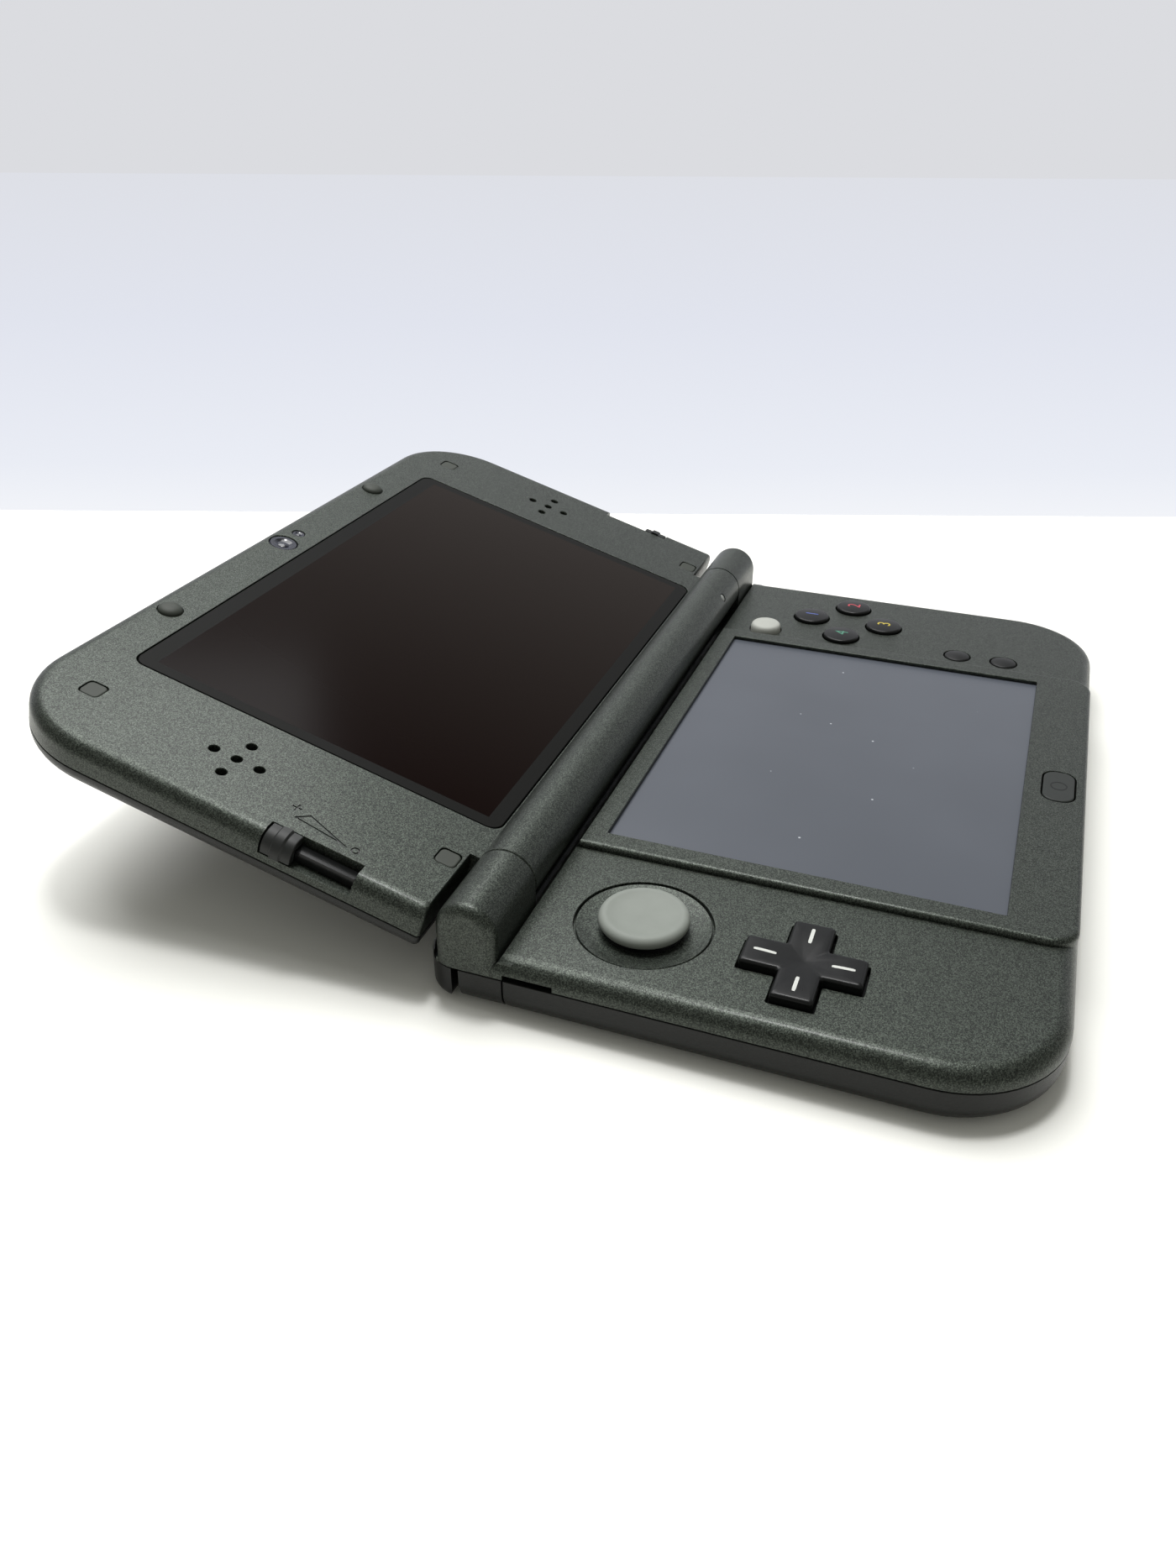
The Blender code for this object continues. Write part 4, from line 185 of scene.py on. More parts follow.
# Painted shade: the far end's glow darkens from the nearest tone to the farthest.
backdrop_shading = add(table_tree, "ShaderNodeValToRGB", Fac=far)
backdrop_shading.color_ramp.elements[0].color = srgb(BACKDROP_SHADED_TONES[0])
backdrop_shading.color_ramp.elements[1].color = srgb(BACKDROP_SHADED_TONES[-1])
for place, colour in zip(CAST_SHARES, BACKDROP_SHADED_TONES[1:3]):
    backdrop_shading.color_ramp.elements.new(place).color = srgb(colour)
give(table_shader, Base_Color=srgb(TABLE_WHITE), Roughness=0.6)
far_end = add(table_tree, "ShaderNodeEmission", Color=backdrop_shading.outputs["Color"]).outputs[0]
past = reckon(table_tree, "GREATER_THAN", away, CAST_START)
whole_table = add(table_tree, "ShaderNodeMixShader", i0=past, i1=table_shader.outputs[0], i2=far_end)
# Painted shade: all rays except the camera's and mirrored ones meet the darker table copy.
show_background(table_tree, whole_table, add(table_tree, "ShaderNodeBsdfDiffuse", Color=srgb(TABLE_SHADED_FOR_BOUNCES)))
corners = ((-1, -1), (1, -1), (1, 1), (-1, 1))
plane("table", [(x * TABLE_SIZE, y * TABLE_SIZE, 0) for x, y in corners], table_paint)
wall_paint, wall_tree, wall_shader = new_material("painted_wall")
# Painted shade: the wall's diffuse side is the darker copy.
give(wall_shader, Base_Color=srgb(WALL_SHADED_FOR_BOUNCES), Roughness=0.9)
show_background(wall_tree, add(wall_tree, "ShaderNodeEmission", Color=srgb(BACKDROP_SHADED_TONES[-1])), wall_shader)
wall_x = CAMERA_PLACE[0] + view_x * WALL_DISTANCE
wall_y = CAMERA_PLACE[1] + view_y * WALL_DISTANCE
wall_ends = [(wall_x + side * view_y * TABLE_SIZE, wall_y - side * view_x * TABLE_SIZE) for side in (1, -1)]
wall_corners = [(*end, 0) for end in wall_ends] + [(*end, WALL_HEIGHT) for end in wall_ends[::-1]]
plane("wall", wall_corners, wall_paint)

# Light: a broad soft lamp behind the object and above it, which throws the shadow to the front left, a small
# bright one overhead for the edges and the paint's flakes, and a dim room.
SOFT_LAMP = ((0.18, 0.24, 0.64), 0.55, 5.0)
SMALL_LAMP = ((0.04, 0.06, 0.80), 0.12, 2.3)
ROOM_STRENGTH = 0.36


def lamp(name, place, target, size, power):
    """Square area lamp that faces a target."""
    data = bpy.data.lights.new(name, "AREA")
    data.size = size
    data.energy = power
    made = bpy.data.objects.new(name, data)
    bpy.context.scene.collection.objects.link(made)
    direction = np.array(target) - np.array(place)
    made.location = place
    flat = math.hypot(direction[0], direction[1])
    turn = math.atan2(direction[1], direction[0]) - math.pi / 2
    made.rotation_euler = (math.atan2(flat, -direction[2]), 0, turn)
    return made


for name, (place, size, power) in (("soft_lamp", SOFT_LAMP), ("small_lamp", SMALL_LAMP)):
    lamp(name, place, (0, 0.03, 0), size, power)
world = bpy.data.worlds.new("room")
world.use_nodes = True
world.node_tree.nodes["Background"].inputs["Color"].default_value = srgb("#f5f5ec")
world.node_tree.nodes["Background"].inputs["Strength"].default_value = ROOM_STRENGTH
bpy.context.scene.world = world

# Control shell of the base: moulded ABS, sprayed with a dark gunmetal paint with fine metal flake and a
# satin coat. The raised plate round the lower screen and both hinge knuckles are moulded in one with it.
HALF_WIDTH = 80.0 * MM
HALF_DEPTH = 46.75 * MM
FRONT_CORNER = 18.0 * MM
BACK_CORNER = 5.5 * MM
FACE = 10.3 * MM
SKIN = 1.0 * MM
WALL = 1.5 * MM
SEAM = 7.06 * MM
EDGE_ROUND = 2.8 * MM
PLATE_HALF_WIDTH = 47.3 * MM
PLATE_CORNER = 4.6 * MM
PLATE_TOP = 11.5 * MM
PLATE_FOOT = 8.55 * MM
PLATE_ROUND = 0.9 * MM
WINDOW_HALF_WIDTH = 43.15 * MM
WINDOW_FRONT = -35.75 * MM
WINDOW_BACK = 29.65 * MM
PANEL_MARGIN = 2.0 * MM
PANEL_BED = 10.95 * MM
HINGE_Y = 39.25 * MM
HINGE_Z = 13.7 * MM
TROUGH_RADIUS = 6.5 * MM
TROUGH_FLOOR = 7.9 * MM
BARREL_RADIUS = 5.05 * MM
KNUCKLE_START = 64.1 * MM
KNUCKLE_ROUND = 1.8 * MM
EDGE_BREAK = 0.15 * MM
PAD_X = -63.4 * MM
PAD_Y = 16.5 * MM
PAD_WELL_RADIUS = 10.9 * MM
DPAD_X = -65.1 * MM
DPAD_Y = -8.6 * MM
DPAD_SPAN = 18.2 * MM
DPAD_ARM = 6.3 * MM
DPAD_GAP = 0.35 * MM
ACTION_X = 62.4 * MM
ACTION_Y = 7.5 * MM
ACTION_OFFSET = 8.4 * MM
ACTION_RADIUS = 3.95 * MM
ACTION_PLACES = {
    "top": (ACTION_X, ACTION_Y + ACTION_OFFSET),
    "right": (ACTION_X + ACTION_OFFSET, ACTION_Y),
    "bottom": (ACTION_X, ACTION_Y - ACTION_OFFSET),
    "left": (ACTION_X - ACTION_OFFSET, ACTION_Y),
}
SMALL_PLACES = {"select": (52.9 * MM, -18.5 * MM), "start": (52.9 * MM, -28.4 * MM)}
SMALL_RADIUS = 2.7 * MM
NUB_PLACE = (52.1 * MM, 24.6 * MM)
NUB_RADIUS = 3.4 * MM
HOME_Y = -41.7 * MM
HOME_HALF_WIDTH = 5.3 * MM
HOME_HALF_DEPTH = 2.75 * MM
HOME_CORNER = 2.3 * MM
BUTTON_GAP = 0.25 * MM
OVERRUN = 4.0 * MM
BODY_GREY = "#50564f"
BODY_DARK = "#1f231f"
# Darker copy of the body paint: painted shade for the parts that face down and away from the lamps.
SHADED_BODY_GREY = "#1b1d1b"
SHADED_BODY_DARK = "#0f100f"
FLAKE_SIZE = 0.15 * MM
FLAKE_CONTRAST = 1.6
BED_FRONT = 31.75 * MM
LEDGE_START = 56.3 * MM
LEDGE_FRONT = 44.3 * MM
NOTCH_DEPTH = 1.1 * MM
NOTCH_Y = (25.2 * MM, 33.2 * MM)
NOTCH_TOP = 8.0 * MM
SHARP = 0.1 * MM
WELL_FOOT_RADIUS = 12.8 * MM
WELL_STEP = 9.7 * MM
CROSS_FOOT_RADIUS = 10.8 * MM


def gunmetal(name, light, dark, flake):
    """Flake paint: small cells, each of its own grey between two, stand for the flakes under a clear coat, and
    a noise of like size tilts them. flake is how metallic it is."""
    material, tree, shader = new_material(name)
    cells = add(tree, "ShaderNodeTexVoronoi", Vector=spot(tree), Scale=1 / FLAKE_SIZE)
    each = add(tree, "ShaderNodeSeparateColor", Color=cells.outputs["Color"])
    share = reckon(tree, "POWER", each.outputs["Red"], FLAKE_CONTRAST)
    give(
        shader, Base_Color=blend(tree, share, srgb(dark), srgb(light)),
        Roughness=ramp(tree, noise(tree, 40 * FLAKE_SIZE), 0.37, 0.43),
        Normal=bump(tree, noise(tree, FLAKE_SIZE, Roughness=0.7), 0.8, 0.06 * MM),
        Metallic=flake, Specular_IOR_Level=0.2, Coat_Weight=0.2, Coat_Roughness=0.22,
    )
    return material


def outline(x0, x1, y0, y1, radii, steps=16):
    """Rounded rectangle, anticlockwise from front left: corner centre plus radius times the cosine and sine
    of an angle that runs through a quarter turn. Sizes may be columns, which give one outline a row."""
    x0, x1, y0, y1 = (np.asarray(value, float)[..., None] for value in (x0, x1, y0, y1))
    r = np.stack(np.broadcast_arrays(*[np.asarray(radius, float) for radius in radii]), -1)
    cx = np.concatenate([x0 + r[..., 0:1], x1 - r[..., 1:2], x1 - r[..., 2:3], x0 + r[..., 3:4]], -1)
    cy = np.concatenate([y0 + r[..., 0:1], y0 + r[..., 1:2], y1 - r[..., 2:3], y1 - r[..., 3:4]], -1)
    angle = math.pi * (1 + np.arange(4)[:, None] / 2) + math.pi / 2 * np.linspace(0, 1, steps + 1)
    x = cx[..., None] + r[..., None] * np.cos(angle)
    y = cy[..., None] + r[..., None] * np.sin(angle)
    return np.stack([x.reshape(*x.shape[:-2], -1), y.reshape(*y.shape[:-2], -1)], -1)


def rise(plan, heights):
    """Plan outlines, one a row, lifted each to its own height."""
    lift = np.broadcast_to(np.asarray(heights, float)[:, None, None], (*plan.shape[:-1], 1))
    return np.concatenate([plan, lift], -1)


def quarter(radius, steps=8):
    """Quarter round: inset radius (1 - sin a) and rise radius (1 - cos a), for a from 0 to 90 degrees."""
    angle = np.linspace(0, math.pi / 2, steps + 1)
    return radius * (1 - np.sin(angle)), radius * (1 - np.cos(angle))


def skin(rings):
    """Closed surface through rings of equal point count: quads between rings, a flat cap at each end."""
    levels, count = rings.shape[:2]
    low = (np.arange(levels - 1)[:, None] * count + np.arange(count)).reshape(-1)
    turn = (np.arange(levels - 1)[:, None] * count + (np.arange(count) + 1) % count).reshape(-1)
    quads = np.stack([low, turn, turn + count, low + count], -1).tolist()
    caps = [list(range(count)), list(range((levels - 1) * count, levels * count))]
    return rings.reshape(-1, 3), quads + caps


def gather(*parts):
    """Several surfaces as one."""
    verts, faces, start = [], [], 0
    for part_verts, part_faces in parts:
        verts.append(part_verts)
        faces += [[start + i for i in face] for face in part_faces]
        start += len(part_verts)
    return np.concatenate(verts), faces


def ring_points(centre, radius, sides):
    """Points round a centre: cosine and sine of equal steps times the radius."""
    angle = 2 * math.pi * np.arange(sides) / sides
    radius = np.asarray(radius, float)[..., None]
    return np.stack([centre[0] + radius * np.cos(angle), centre[1] + radius * np.sin(angle)], -1)


def turned(centre, profile, sides=48):
    """Surface of revolution about an upright line through rows of radius and height, capped at both ends."""
    profile = np.asarray(profile, float)
    return skin(rise(ring_points(centre, profile[:, 0], sides), profile[:, 1]))


def block(x0, x1, y0, y1, z0, z1, radius=0.02 * MM, steps=1):
    """Upright block between two levels, with rounded corners."""
    return skin(rise(outline([x0] * 2, [x1] * 2, [y0] * 2, [y1] * 2, (radius,) * 4, steps), [z0, z1]))


def surface_object(name, form, material):
    """Mesh object from vertices and faces, its normals turned outwards."""
    verts, faces = form
    mesh = bpy.data.meshes.new(name)
    mesh.from_pydata(np.asarray(verts).tolist(), [], faces)
    mesh.materials.append(material)
    made = bpy.data.objects.new(name, mesh)
    bpy.context.scene.collection.objects.link(made)
    turn_out(made)
    return made


def turn_out(piece):
    """Merge doubles and turn every face outwards."""
    work = bmesh.new()
    work.from_mesh(piece.data)
    bmesh.ops.remove_doubles(work, verts=work.verts, dist=0.0005 * MM)
    bmesh.ops.recalc_face_normals(work, faces=work.faces)
    work.to_mesh(piece.data)
    work.free()


def carve(piece, form, operation="DIFFERENCE"):
    """Cut a closed surface out of the piece, or join it on, and keep the result as its mesh."""
    tool = surface_object(piece.name + "_tool", form, piece.data.materials[0])
    modifier = piece.modifiers.new("carve", "BOOLEAN")
    modifier.operation = operation
    modifier.object = tool
    modifier.solver = "EXACT"
    shown = piece.evaluated_get(bpy.context.evaluated_depsgraph_get())
    mesh = bpy.data.meshes.new_from_object(shown)
    piece.modifiers.clear()
    piece.data = mesh
    bpy.data.objects.remove(tool)


def finish_piece(piece, body, *nodes, slot=None, angle=30):
    """Shade smooth, keep flat faces flat by area-weighted normals, and ride on a body for its CAD nodes."""
    piece.data.shade_smooth()
    piece.data.set_sharp_from_angle(angle=math.radians(angle))
    weighted = piece.modifiers.new("flat_faces", "WEIGHTED_NORMAL")
    weighted.keep_sharp = True
    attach(piece, body)
    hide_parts(*nodes)
    return piece


def dress(name, form, material, body, node, slot, angle=30):
    """Piece made of one surface, which rides on a body for one CAD node."""
    return finish_piece(surface_object(name, form, material), body, node, slot=slot, angle=angle)


def case_plan(inset, steps=16):
    """Plan outlines of the base, drawn in by each inset."""
    inset = np.asarray(inset, float)
    front = FRONT_CORNER - inset
    back = np.maximum(BACK_CORNER - inset, 0.3 * MM)
    sides = (inset - HALF_WIDTH, HALF_WIDTH - inset, inset - HALF_DEPTH, HALF_DEPTH - inset)
    return outline(*sides, (front, front, back, back), steps)


def flared(radius, low, top, flare=EDGE_BREAK):
    """Profile of a hole that opens with a small round at the surface: rows of radius and height."""
    angle = np.linspace(0, math.pi / 2, 4)
    widen = radius + flare * (1 - np.cos(angle))
    rows = np.stack([widen, top - flare + flare * np.sin(angle)], -1)
    return np.concatenate([[[radius, low]], rows, [[radius + flare, top + OVERRUN]]])


def flared_block(x0, x1, y0, y1, radius, low, top, flare=EDGE_BREAK, steps=6):
    """Block to cut with, whose outline widens by a small round at the surface."""
    angle = np.linspace(0, math.pi / 2, 4)
    grow = np.concatenate([[0], flare * (1 - np.cos(angle)), [flare]])
    heights = np.concatenate([[low], top - flare + flare * np.sin(angle), [top + OVERRUN]])
    corner = radius + grow
    return skin(rise(outline(x0 - grow, x1 + grow, y0 - grow, y1 + grow, (corner,) * 4, steps), heights))


def along_x(section, across):
    """Section of Y and Z points carried along X through the given places."""
    section = np.asarray(section, float)
    if section.ndim == 2:
        section = np.repeat(section[None], len(across), 0)
    lift = np.broadcast_to(np.asarray(across, float)[:, None, None], (*section.shape[:-1], 1))
    return skin(np.concatenate([lift, section], -1))


def trough_section():
    """Space that the barrel turns in: an arc from the hinge's level to a floor, open above and behind."""
    floor_angle = math.asin((TROUGH_FLOOR - HINGE_Z) / TROUGH_RADIUS)
    angle = math.pi - np.linspace(0, floor_angle, 17)
    arc = np.stack([HINGE_Y + TROUGH_RADIUS * np.cos(angle), HINGE_Z + TROUGH_RADIUS * np.sin(angle)], -1)
    back = HALF_DEPTH + OVERRUN
    top = HINGE_Z + TROUGH_RADIUS
    return np.concatenate([arc, [[back, TROUGH_FLOOR], [back, top], [HINGE_Y - TROUGH_RADIUS, top]]])


def knuckle_section(inset):
    """Hinge knuckle: a half round on top of straight sides, drawn in by each inset."""
    radius = BARREL_RADIUS - np.asarray(inset, float)[:, None]
    angle = np.linspace(0, math.pi, 41)
    y = np.concatenate([HINGE_Y + radius, HINGE_Y + radius * np.cos(angle), HINGE_Y - radius], -1)
    foot = np.full_like(radius, (SEAM + TROUGH_FLOOR) / 2)
    z = np.concatenate([foot, HINGE_Z + radius * np.sin(angle), foot], -1)
    return np.stack([y, z], -1)


def cross_outline(centre, span, arm, corner=0.35 * MM, steps=3):
    """Plus sign with twelve rounded corners: arcs about points set in from each one, turned four times."""
    half, side = span / 2, arm / 2
    sweep = math.pi / 2 * np.linspace(0, 1, steps + 1)
    first = np.stack([half - corner + corner * np.sin(sweep), corner - side - corner * np.cos(sweep)], -1)
    second = np.stack([half - corner + corner * np.cos(sweep), side - corner + corner * np.sin(sweep)], -1)
    inner = np.stack([side + corner - corner * np.sin(sweep), side + corner - corner * np.cos(sweep)], -1)
    arm_points = np.concatenate([first, second, inner])
    turns = []
    for turn in range(4):
        c, s = round(math.cos(math.pi / 2 * turn)), round(math.sin(math.pi / 2 * turn))
        turns.append(arm_points @ np.array([[c, s], [-s, c]]))
    return np.concatenate(turns) + np.asarray(centre)


body_paint = gunmetal("gunmetal_flake_paint_on_abs", BODY_GREY, BODY_DARK, 0.7)
inset, drop = quarter(EDGE_ROUND)
ceiling = FACE - SKIN
hollow = rise(case_plan([WALL + EDGE_ROUND / 2, WALL, WALL]), [ceiling, ceiling - EDGE_ROUND / 2, SEAM])
wall = rise(case_plan([EDGE_BREAK / 2, 0]), [SEAM, SEAM + EDGE_BREAK / 2])
edge = rise(case_plan(inset[::-1]), FACE - drop[::-1])
control_shell = surface_object("control_shell", skin(np.concatenate([hollow, wall, edge])), body_paint)

inset, drop = quarter(PLATE_ROUND, 6)
inset = np.append(0, inset[::-1])
drop = np.append(PLATE_TOP - PLATE_FOOT, drop[::-1])
corner = PLATE_CORNER - inset
square = np.full_like(corner, 0.3 * MM)
plate = outline(
    inset - PLATE_HALF_WIDTH, PLATE_HALF_WIDTH - inset, 0.2 * MM - HALF_DEPTH + inset, HINGE_Y + 0 * inset,
    (corner, corner, square, square), 12,
)
carve(control_shell, skin(rise(plate, PLATE_TOP - drop)), "UNION")
bed_x, bed_back = HALF_WIDTH - WALL / 2, HALF_DEPTH - WALL / 2
carve(control_shell, block(-bed_x, bed_x, BED_FRONT, bed_back, SEAM, FACE - SKIN / 2, SHARP), "UNION")
reach = HALF_WIDTH + OVERRUN
carve(control_shell, along_x(trough_section(), [-reach, reach]))
inset, drop = quarter(KNUCKLE_ROUND)
for side in (-1, 1):
    levels = np.append(0, inset[::-1])
    across = side * np.append(KNUCKLE_START, HALF_WIDTH - drop[::-1])
    carve(control_shell, along_x(knuckle_section(levels), across), "UNION")
    ledge_x = sorted((side * LEDGE_START, side * reach))
    carve(control_shell, block(*ledge_x, LEDGE_FRONT, HALF_DEPTH + OVERRUN, SEAM - OVERRUN, HINGE_Z, SHARP))
    notch_x = sorted((side * (HALF_WIDTH - NOTCH_DEPTH), side * reach))
    carve(control_shell, block(*notch_x, *NOTCH_Y, SEAM - OVERRUN, NOTCH_TOP, SHARP))

carve(control_shell, flared_block(
    -WINDOW_HALF_WIDTH, WINDOW_HALF_WIDTH, WINDOW_FRONT, WINDOW_BACK, 0.3 * MM, ceiling, PLATE_TOP, steps=3
))
bed_x = WINDOW_HALF_WIDTH + PANEL_MARGIN
bed_y = (WINDOW_FRONT - PANEL_MARGIN, WINDOW_BACK + PANEL_MARGIN)
carve(control_shell, block(-bed_x, bed_x, *bed_y, SEAM, PANEL_BED, PANEL_MARGIN, 3))
well_foot = [[WELL_FOOT_RADIUS, SEAM], [WELL_FOOT_RADIUS, WELL_STEP]]
well = np.concatenate([well_foot, flared(PAD_WELL_RADIUS, WELL_STEP, FACE)])
cross_grow = 2 * DPAD_GAP + np.array([0, 0, 0.03, 0.09, 0.2, 0.2]) * MM
cross_rings = np.stack([cross_outline((DPAD_X, DPAD_Y), DPAD_SPAN + g, DPAD_ARM + g) for g in cross_grow])
cross_heights = FACE + np.array([-OVERRUN, -0.15 * MM, -0.09 * MM, -0.04 * MM, 0, OVERRUN])
home_x, home_y = HOME_HALF_WIDTH + BUTTON_GAP, HOME_HALF_DEPTH + BUTTON_GAP
home_corner = HOME_CORNER + BUTTON_GAP
holes = [
    turned((PAD_X, PAD_Y), well, 96),
    skin(rise(cross_rings, cross_heights)),
    flared_block(
        -home_x, home_x, HOME_Y - home_y, HOME_Y + home_y, home_corner, FACE - OVERRUN, PLATE_TOP, steps=8
    ),
]
round_holes = [(place, ACTION_RADIUS, 48) for place in ACTION_PLACES.values()]
round_holes += [(place, SMALL_RADIUS, 36) for place in SMALL_PLACES.values()]
for place, radius, sides in round_holes + [(NUB_PLACE, NUB_RADIUS, 48)]:
    holes.append(turned(place, flared(radius + BUTTON_GAP, FACE - OVERRUN, FACE), sides))
carve(control_shell, gather(*holes))
cross_under = [[CROSS_FOOT_RADIUS, SEAM], [CROSS_FOOT_RADIUS, FACE - 0.7 * MM]]
carve(control_shell, turned((DPAD_X, DPAD_Y), cross_under))
finish_piece(control_shell, "base", "base_control_shell", slot="shell")

# Rear cover: the tray-shaped plate under the base, same painted ABS, held by two cross-head screws. It takes a
# darker copy of the paint as painted shade. Its wall rises to the side seam; the card slot, stylus, headphone
# jack and power button come out in front.
FLOOR_ROUND = 4.5 * MM
COVER_FLOOR = 1.2 * MM
COVER_RIM = 6.9 * MM
COVER_BACK = 33.2 * MM
CARD_X = (-49.35 * MM, -15.15 * MM)
CARD_Z = (2.0 * MM, 6.2 * MM)
CARD_BOX_ROOM = 0.7 * MM
STYLUS = (-10.8 * MM, 3.9 * MM, 4.7 * MM, 3.8 * MM, 1.4 * MM)
JACK_PLACE = (2.5 * MM, 4.0 * MM)
JACK_RADIUS = 2.5 * MM
POWER = (50.0 * MM, 4.2 * MM, 9.0 * MM, 2.6 * MM, 1.2 * MM)
PART_GAP = 0.3 * MM
TRAY_BACK = 40.0 * MM
ABOVE = 12.0 * MM
SCREW_PLACES = ((-44.0 * MM, 29.0 * MM), (44.0 * MM, 29.0 * MM))
SCREW_RADIUS = 2.2 * MM
SCREW_WELL_RADIUS = 2.5 * MM
SCREW_HOLE_RADIUS = 1.3 * MM
SCREW_SEAT = 0.85 * MM


def cover_plan(inset, back_inset, steps=16):
    """Plan outlines of the rear cover: drawn in by one inset in front and at the sides, by another behind."""
    inset = np.asarray(inset, float)
    front = FRONT_CORNER - inset
    square = np.full_like(front, 0.3 * MM)
    back = COVER_BACK - np.asarray(back_inset, float) + 0 * inset
    sides = (inset - HALF_WIDTH, HALF_WIDTH - inset, inset - HALF_DEPTH, back)
    return outline(*sides, (front, front, square, square), steps)


def along_y(section, places):
    """Sections of X and Z points, each carried to its place along Y."""
    across = np.broadcast_to(np.asarray(places, float)[:, None, None], (*section.shape[:-1], 1))
    return skin(np.concatenate([section[..., :1], across, section[..., 1:]], -1))


def bar_along_y(x_mid, z_mid, width, height, radius, levels, steps=5):
    """Rounded bar carried along Y through rows of place and growth, where growth widens it all round."""
    place, growth = np.asarray(levels, float).T
    half_x, half_z = width / 2 + growth, height / 2 + growth
    sides = (x_mid - half_x, x_mid + half_x, z_mid - half_z, z_mid + half_z)
    return along_y(outline(*sides, (radius + growth,) * 4, steps), place)


# Painted shade: a darker, less metallic copy of the body paint for the rear cover, middle frame and outer half
# of the lid.
shaded_body_paint = gunmetal("gunmetal_paint_darkened_as_painted_shade", SHADED_BODY_GREY, SHADED_BODY_DARK, 0.3)
inset, lift = quarter(FLOOR_ROUND)
inner_inset, inner_lift = quarter(FLOOR_ROUND - COVER_FLOOR, 4)
cover_rings = np.concatenate([
    rise(cover_plan(inset, 0 * inset), lift),
    rise(cover_plan([0, EDGE_BREAK / 2, WALL, WALL], [0, 0, WALL, WALL]),
         [COVER_RIM - EDGE_BREAK / 2, COVER_RIM, COVER_RIM, FLOOR_ROUND]),
    rise(cover_plan(WALL + inner_inset[::-1], WALL + 0 * inner_inset), COVER_FLOOR + inner_lift[::-1]),
])
rear_cover = surface_object("rear_cover_shell", skin(cover_rings), shaded_body_paint)
inner_wall = HALF_WIDTH - WALL - PART_GAP
carve(rear_cover, block(-inner_wall, inner_wall, COVER_BACK - WALL - PART_GAP, TRAY_BACK, FLOOR_ROUND, ABOVE))
front_out = -HALF_DEPTH - OVERRUN
front_in = FLOOR_ROUND - HALF_DEPTH
front_flare = np.array(
    [(front_out, EDGE_BREAK), (-HALF_DEPTH, EDGE_BREAK), (-HALF_DEPTH + EDGE_BREAK, 0), (front_in, 0)]
)
loose_flare = front_flare + (0, PART_GAP / 2)
card_slot = (sum(CARD_X) / 2, sum(CARD_Z) / 2, CARD_X[1] - CARD_X[0], CARD_Z[1] - CARD_Z[0], 0.3 * MM)
carve(rear_cover, gather(
    bar_along_y(*card_slot, front_flare),
    bar_along_y(*STYLUS, loose_flare),
    bar_along_y(*POWER, loose_flare),
    along_y(ring_points(JACK_PLACE, JACK_RADIUS + loose_flare[:, 1], 40), loose_flare[:, 0]),
))
card_box_x = (CARD_X[0] - CARD_BOX_ROOM, CARD_X[1] + CARD_BOX_ROOM)
carve(rear_cover, block(*card_box_x, WALL - HALF_DEPTH, front_in, COVER_FLOOR, ABOVE))
screw_hole = [
    [SCREW_WELL_RADIUS + SHARP, -OVERRUN], [SCREW_WELL_RADIUS + SHARP, 0], [SCREW_WELL_RADIUS, SHARP],
    [SCREW_WELL_RADIUS, SCREW_SEAT], [SCREW_HOLE_RADIUS, SCREW_SEAT], [SCREW_HOLE_RADIUS, 1.5 * MM],
]
carve(rear_cover, gather(*[turned(place, screw_hole, 36) for place in SCREW_PLACES]))
finish_piece(rear_cover, "base", "rear_cover", slot="rear_shell")

# Cover screws: steel, zinc plated, with a cross recess pressed into a flat head.
SCREW_SHANK = 1.0 * MM


def plain_metal(name, colour, roughness, grain_size):
    """Bright or cast metal: one colour, with fine noise in its roughness and a shallow bump."""
    material, tree, shader = new_material(name)
    grain = noise(tree, grain_size, 3.0)
    give(
        shader, Base_Color=srgb(colour), Metallic=1.0, Normal=bump(tree, grain, 0.15, 0.02 * MM),
        Roughness=ramp(tree, grain, roughness - 0.08, roughness + 0.08),
    )
    return material


steel = plain_metal("zinc_plated_steel", "#a9abad", 0.32, 0.4 * MM)
screw_shape = [
    [SCREW_RADIUS - 0.15 * MM, 0.15 * MM], [SCREW_RADIUS, 0.3 * MM], [SCREW_RADIUS, 0.55 * MM],
    [SCREW_SHANK, 0.55 * MM], [SCREW_SHANK, 4.8 * MM],
]
recess_sizes = ((2.6 * MM, 0.7 * MM), (2.4 * MM, 0.5 * MM))
for place, label in zip(SCREW_PLACES, ("left", "right")):
    screw = surface_object("cover_screw_" + label, turned(place, screw_shape, 36), steel)
    recess = np.stack([cross_outline(place, span, arm, 0.1 * MM, 2) for span, arm in recess_sizes])
    carve(screw, skin(rise(recess, [-OVERRUN, 0.4 * MM])))
    finish_piece(screw, "base", "rear_cover_screw_" + label, slot="steel")

# Middle frame: the moulded strip behind the rear cover, in the same paint, given the same darker copy of it as
# painted shade.
# The charging port opens in its back, and the shoulder buttons and triggers sit in its two corner pockets.
PORT = (0.0, 4.3 * MM, 9.6 * MM, 4.0 * MM, 0.4 * MM)
PORT_DEPTH = 6.3 * MM
POCKET_FRONT = 40.4 * MM
POCKET_INNER = 44.4 * MM
BEHIND = 60.0 * MM


def strip_plan(inset, steps=10):
    """Plan outlines of the strip, straight in front and rounded at the back corners."""
    inset = np.asarray(inset, float)
    back = BACK_CORNER - inset / 2
    square = np.full_like(back, 0.15 * MM)
    front = COVER_BACK + 0.15 * MM + 0 * inset
    sides = (inset - HALF_WIDTH, HALF_WIDTH - inset, front, HALF_DEPTH - inset)
    return outline(*sides, (square, square, back, back), steps)


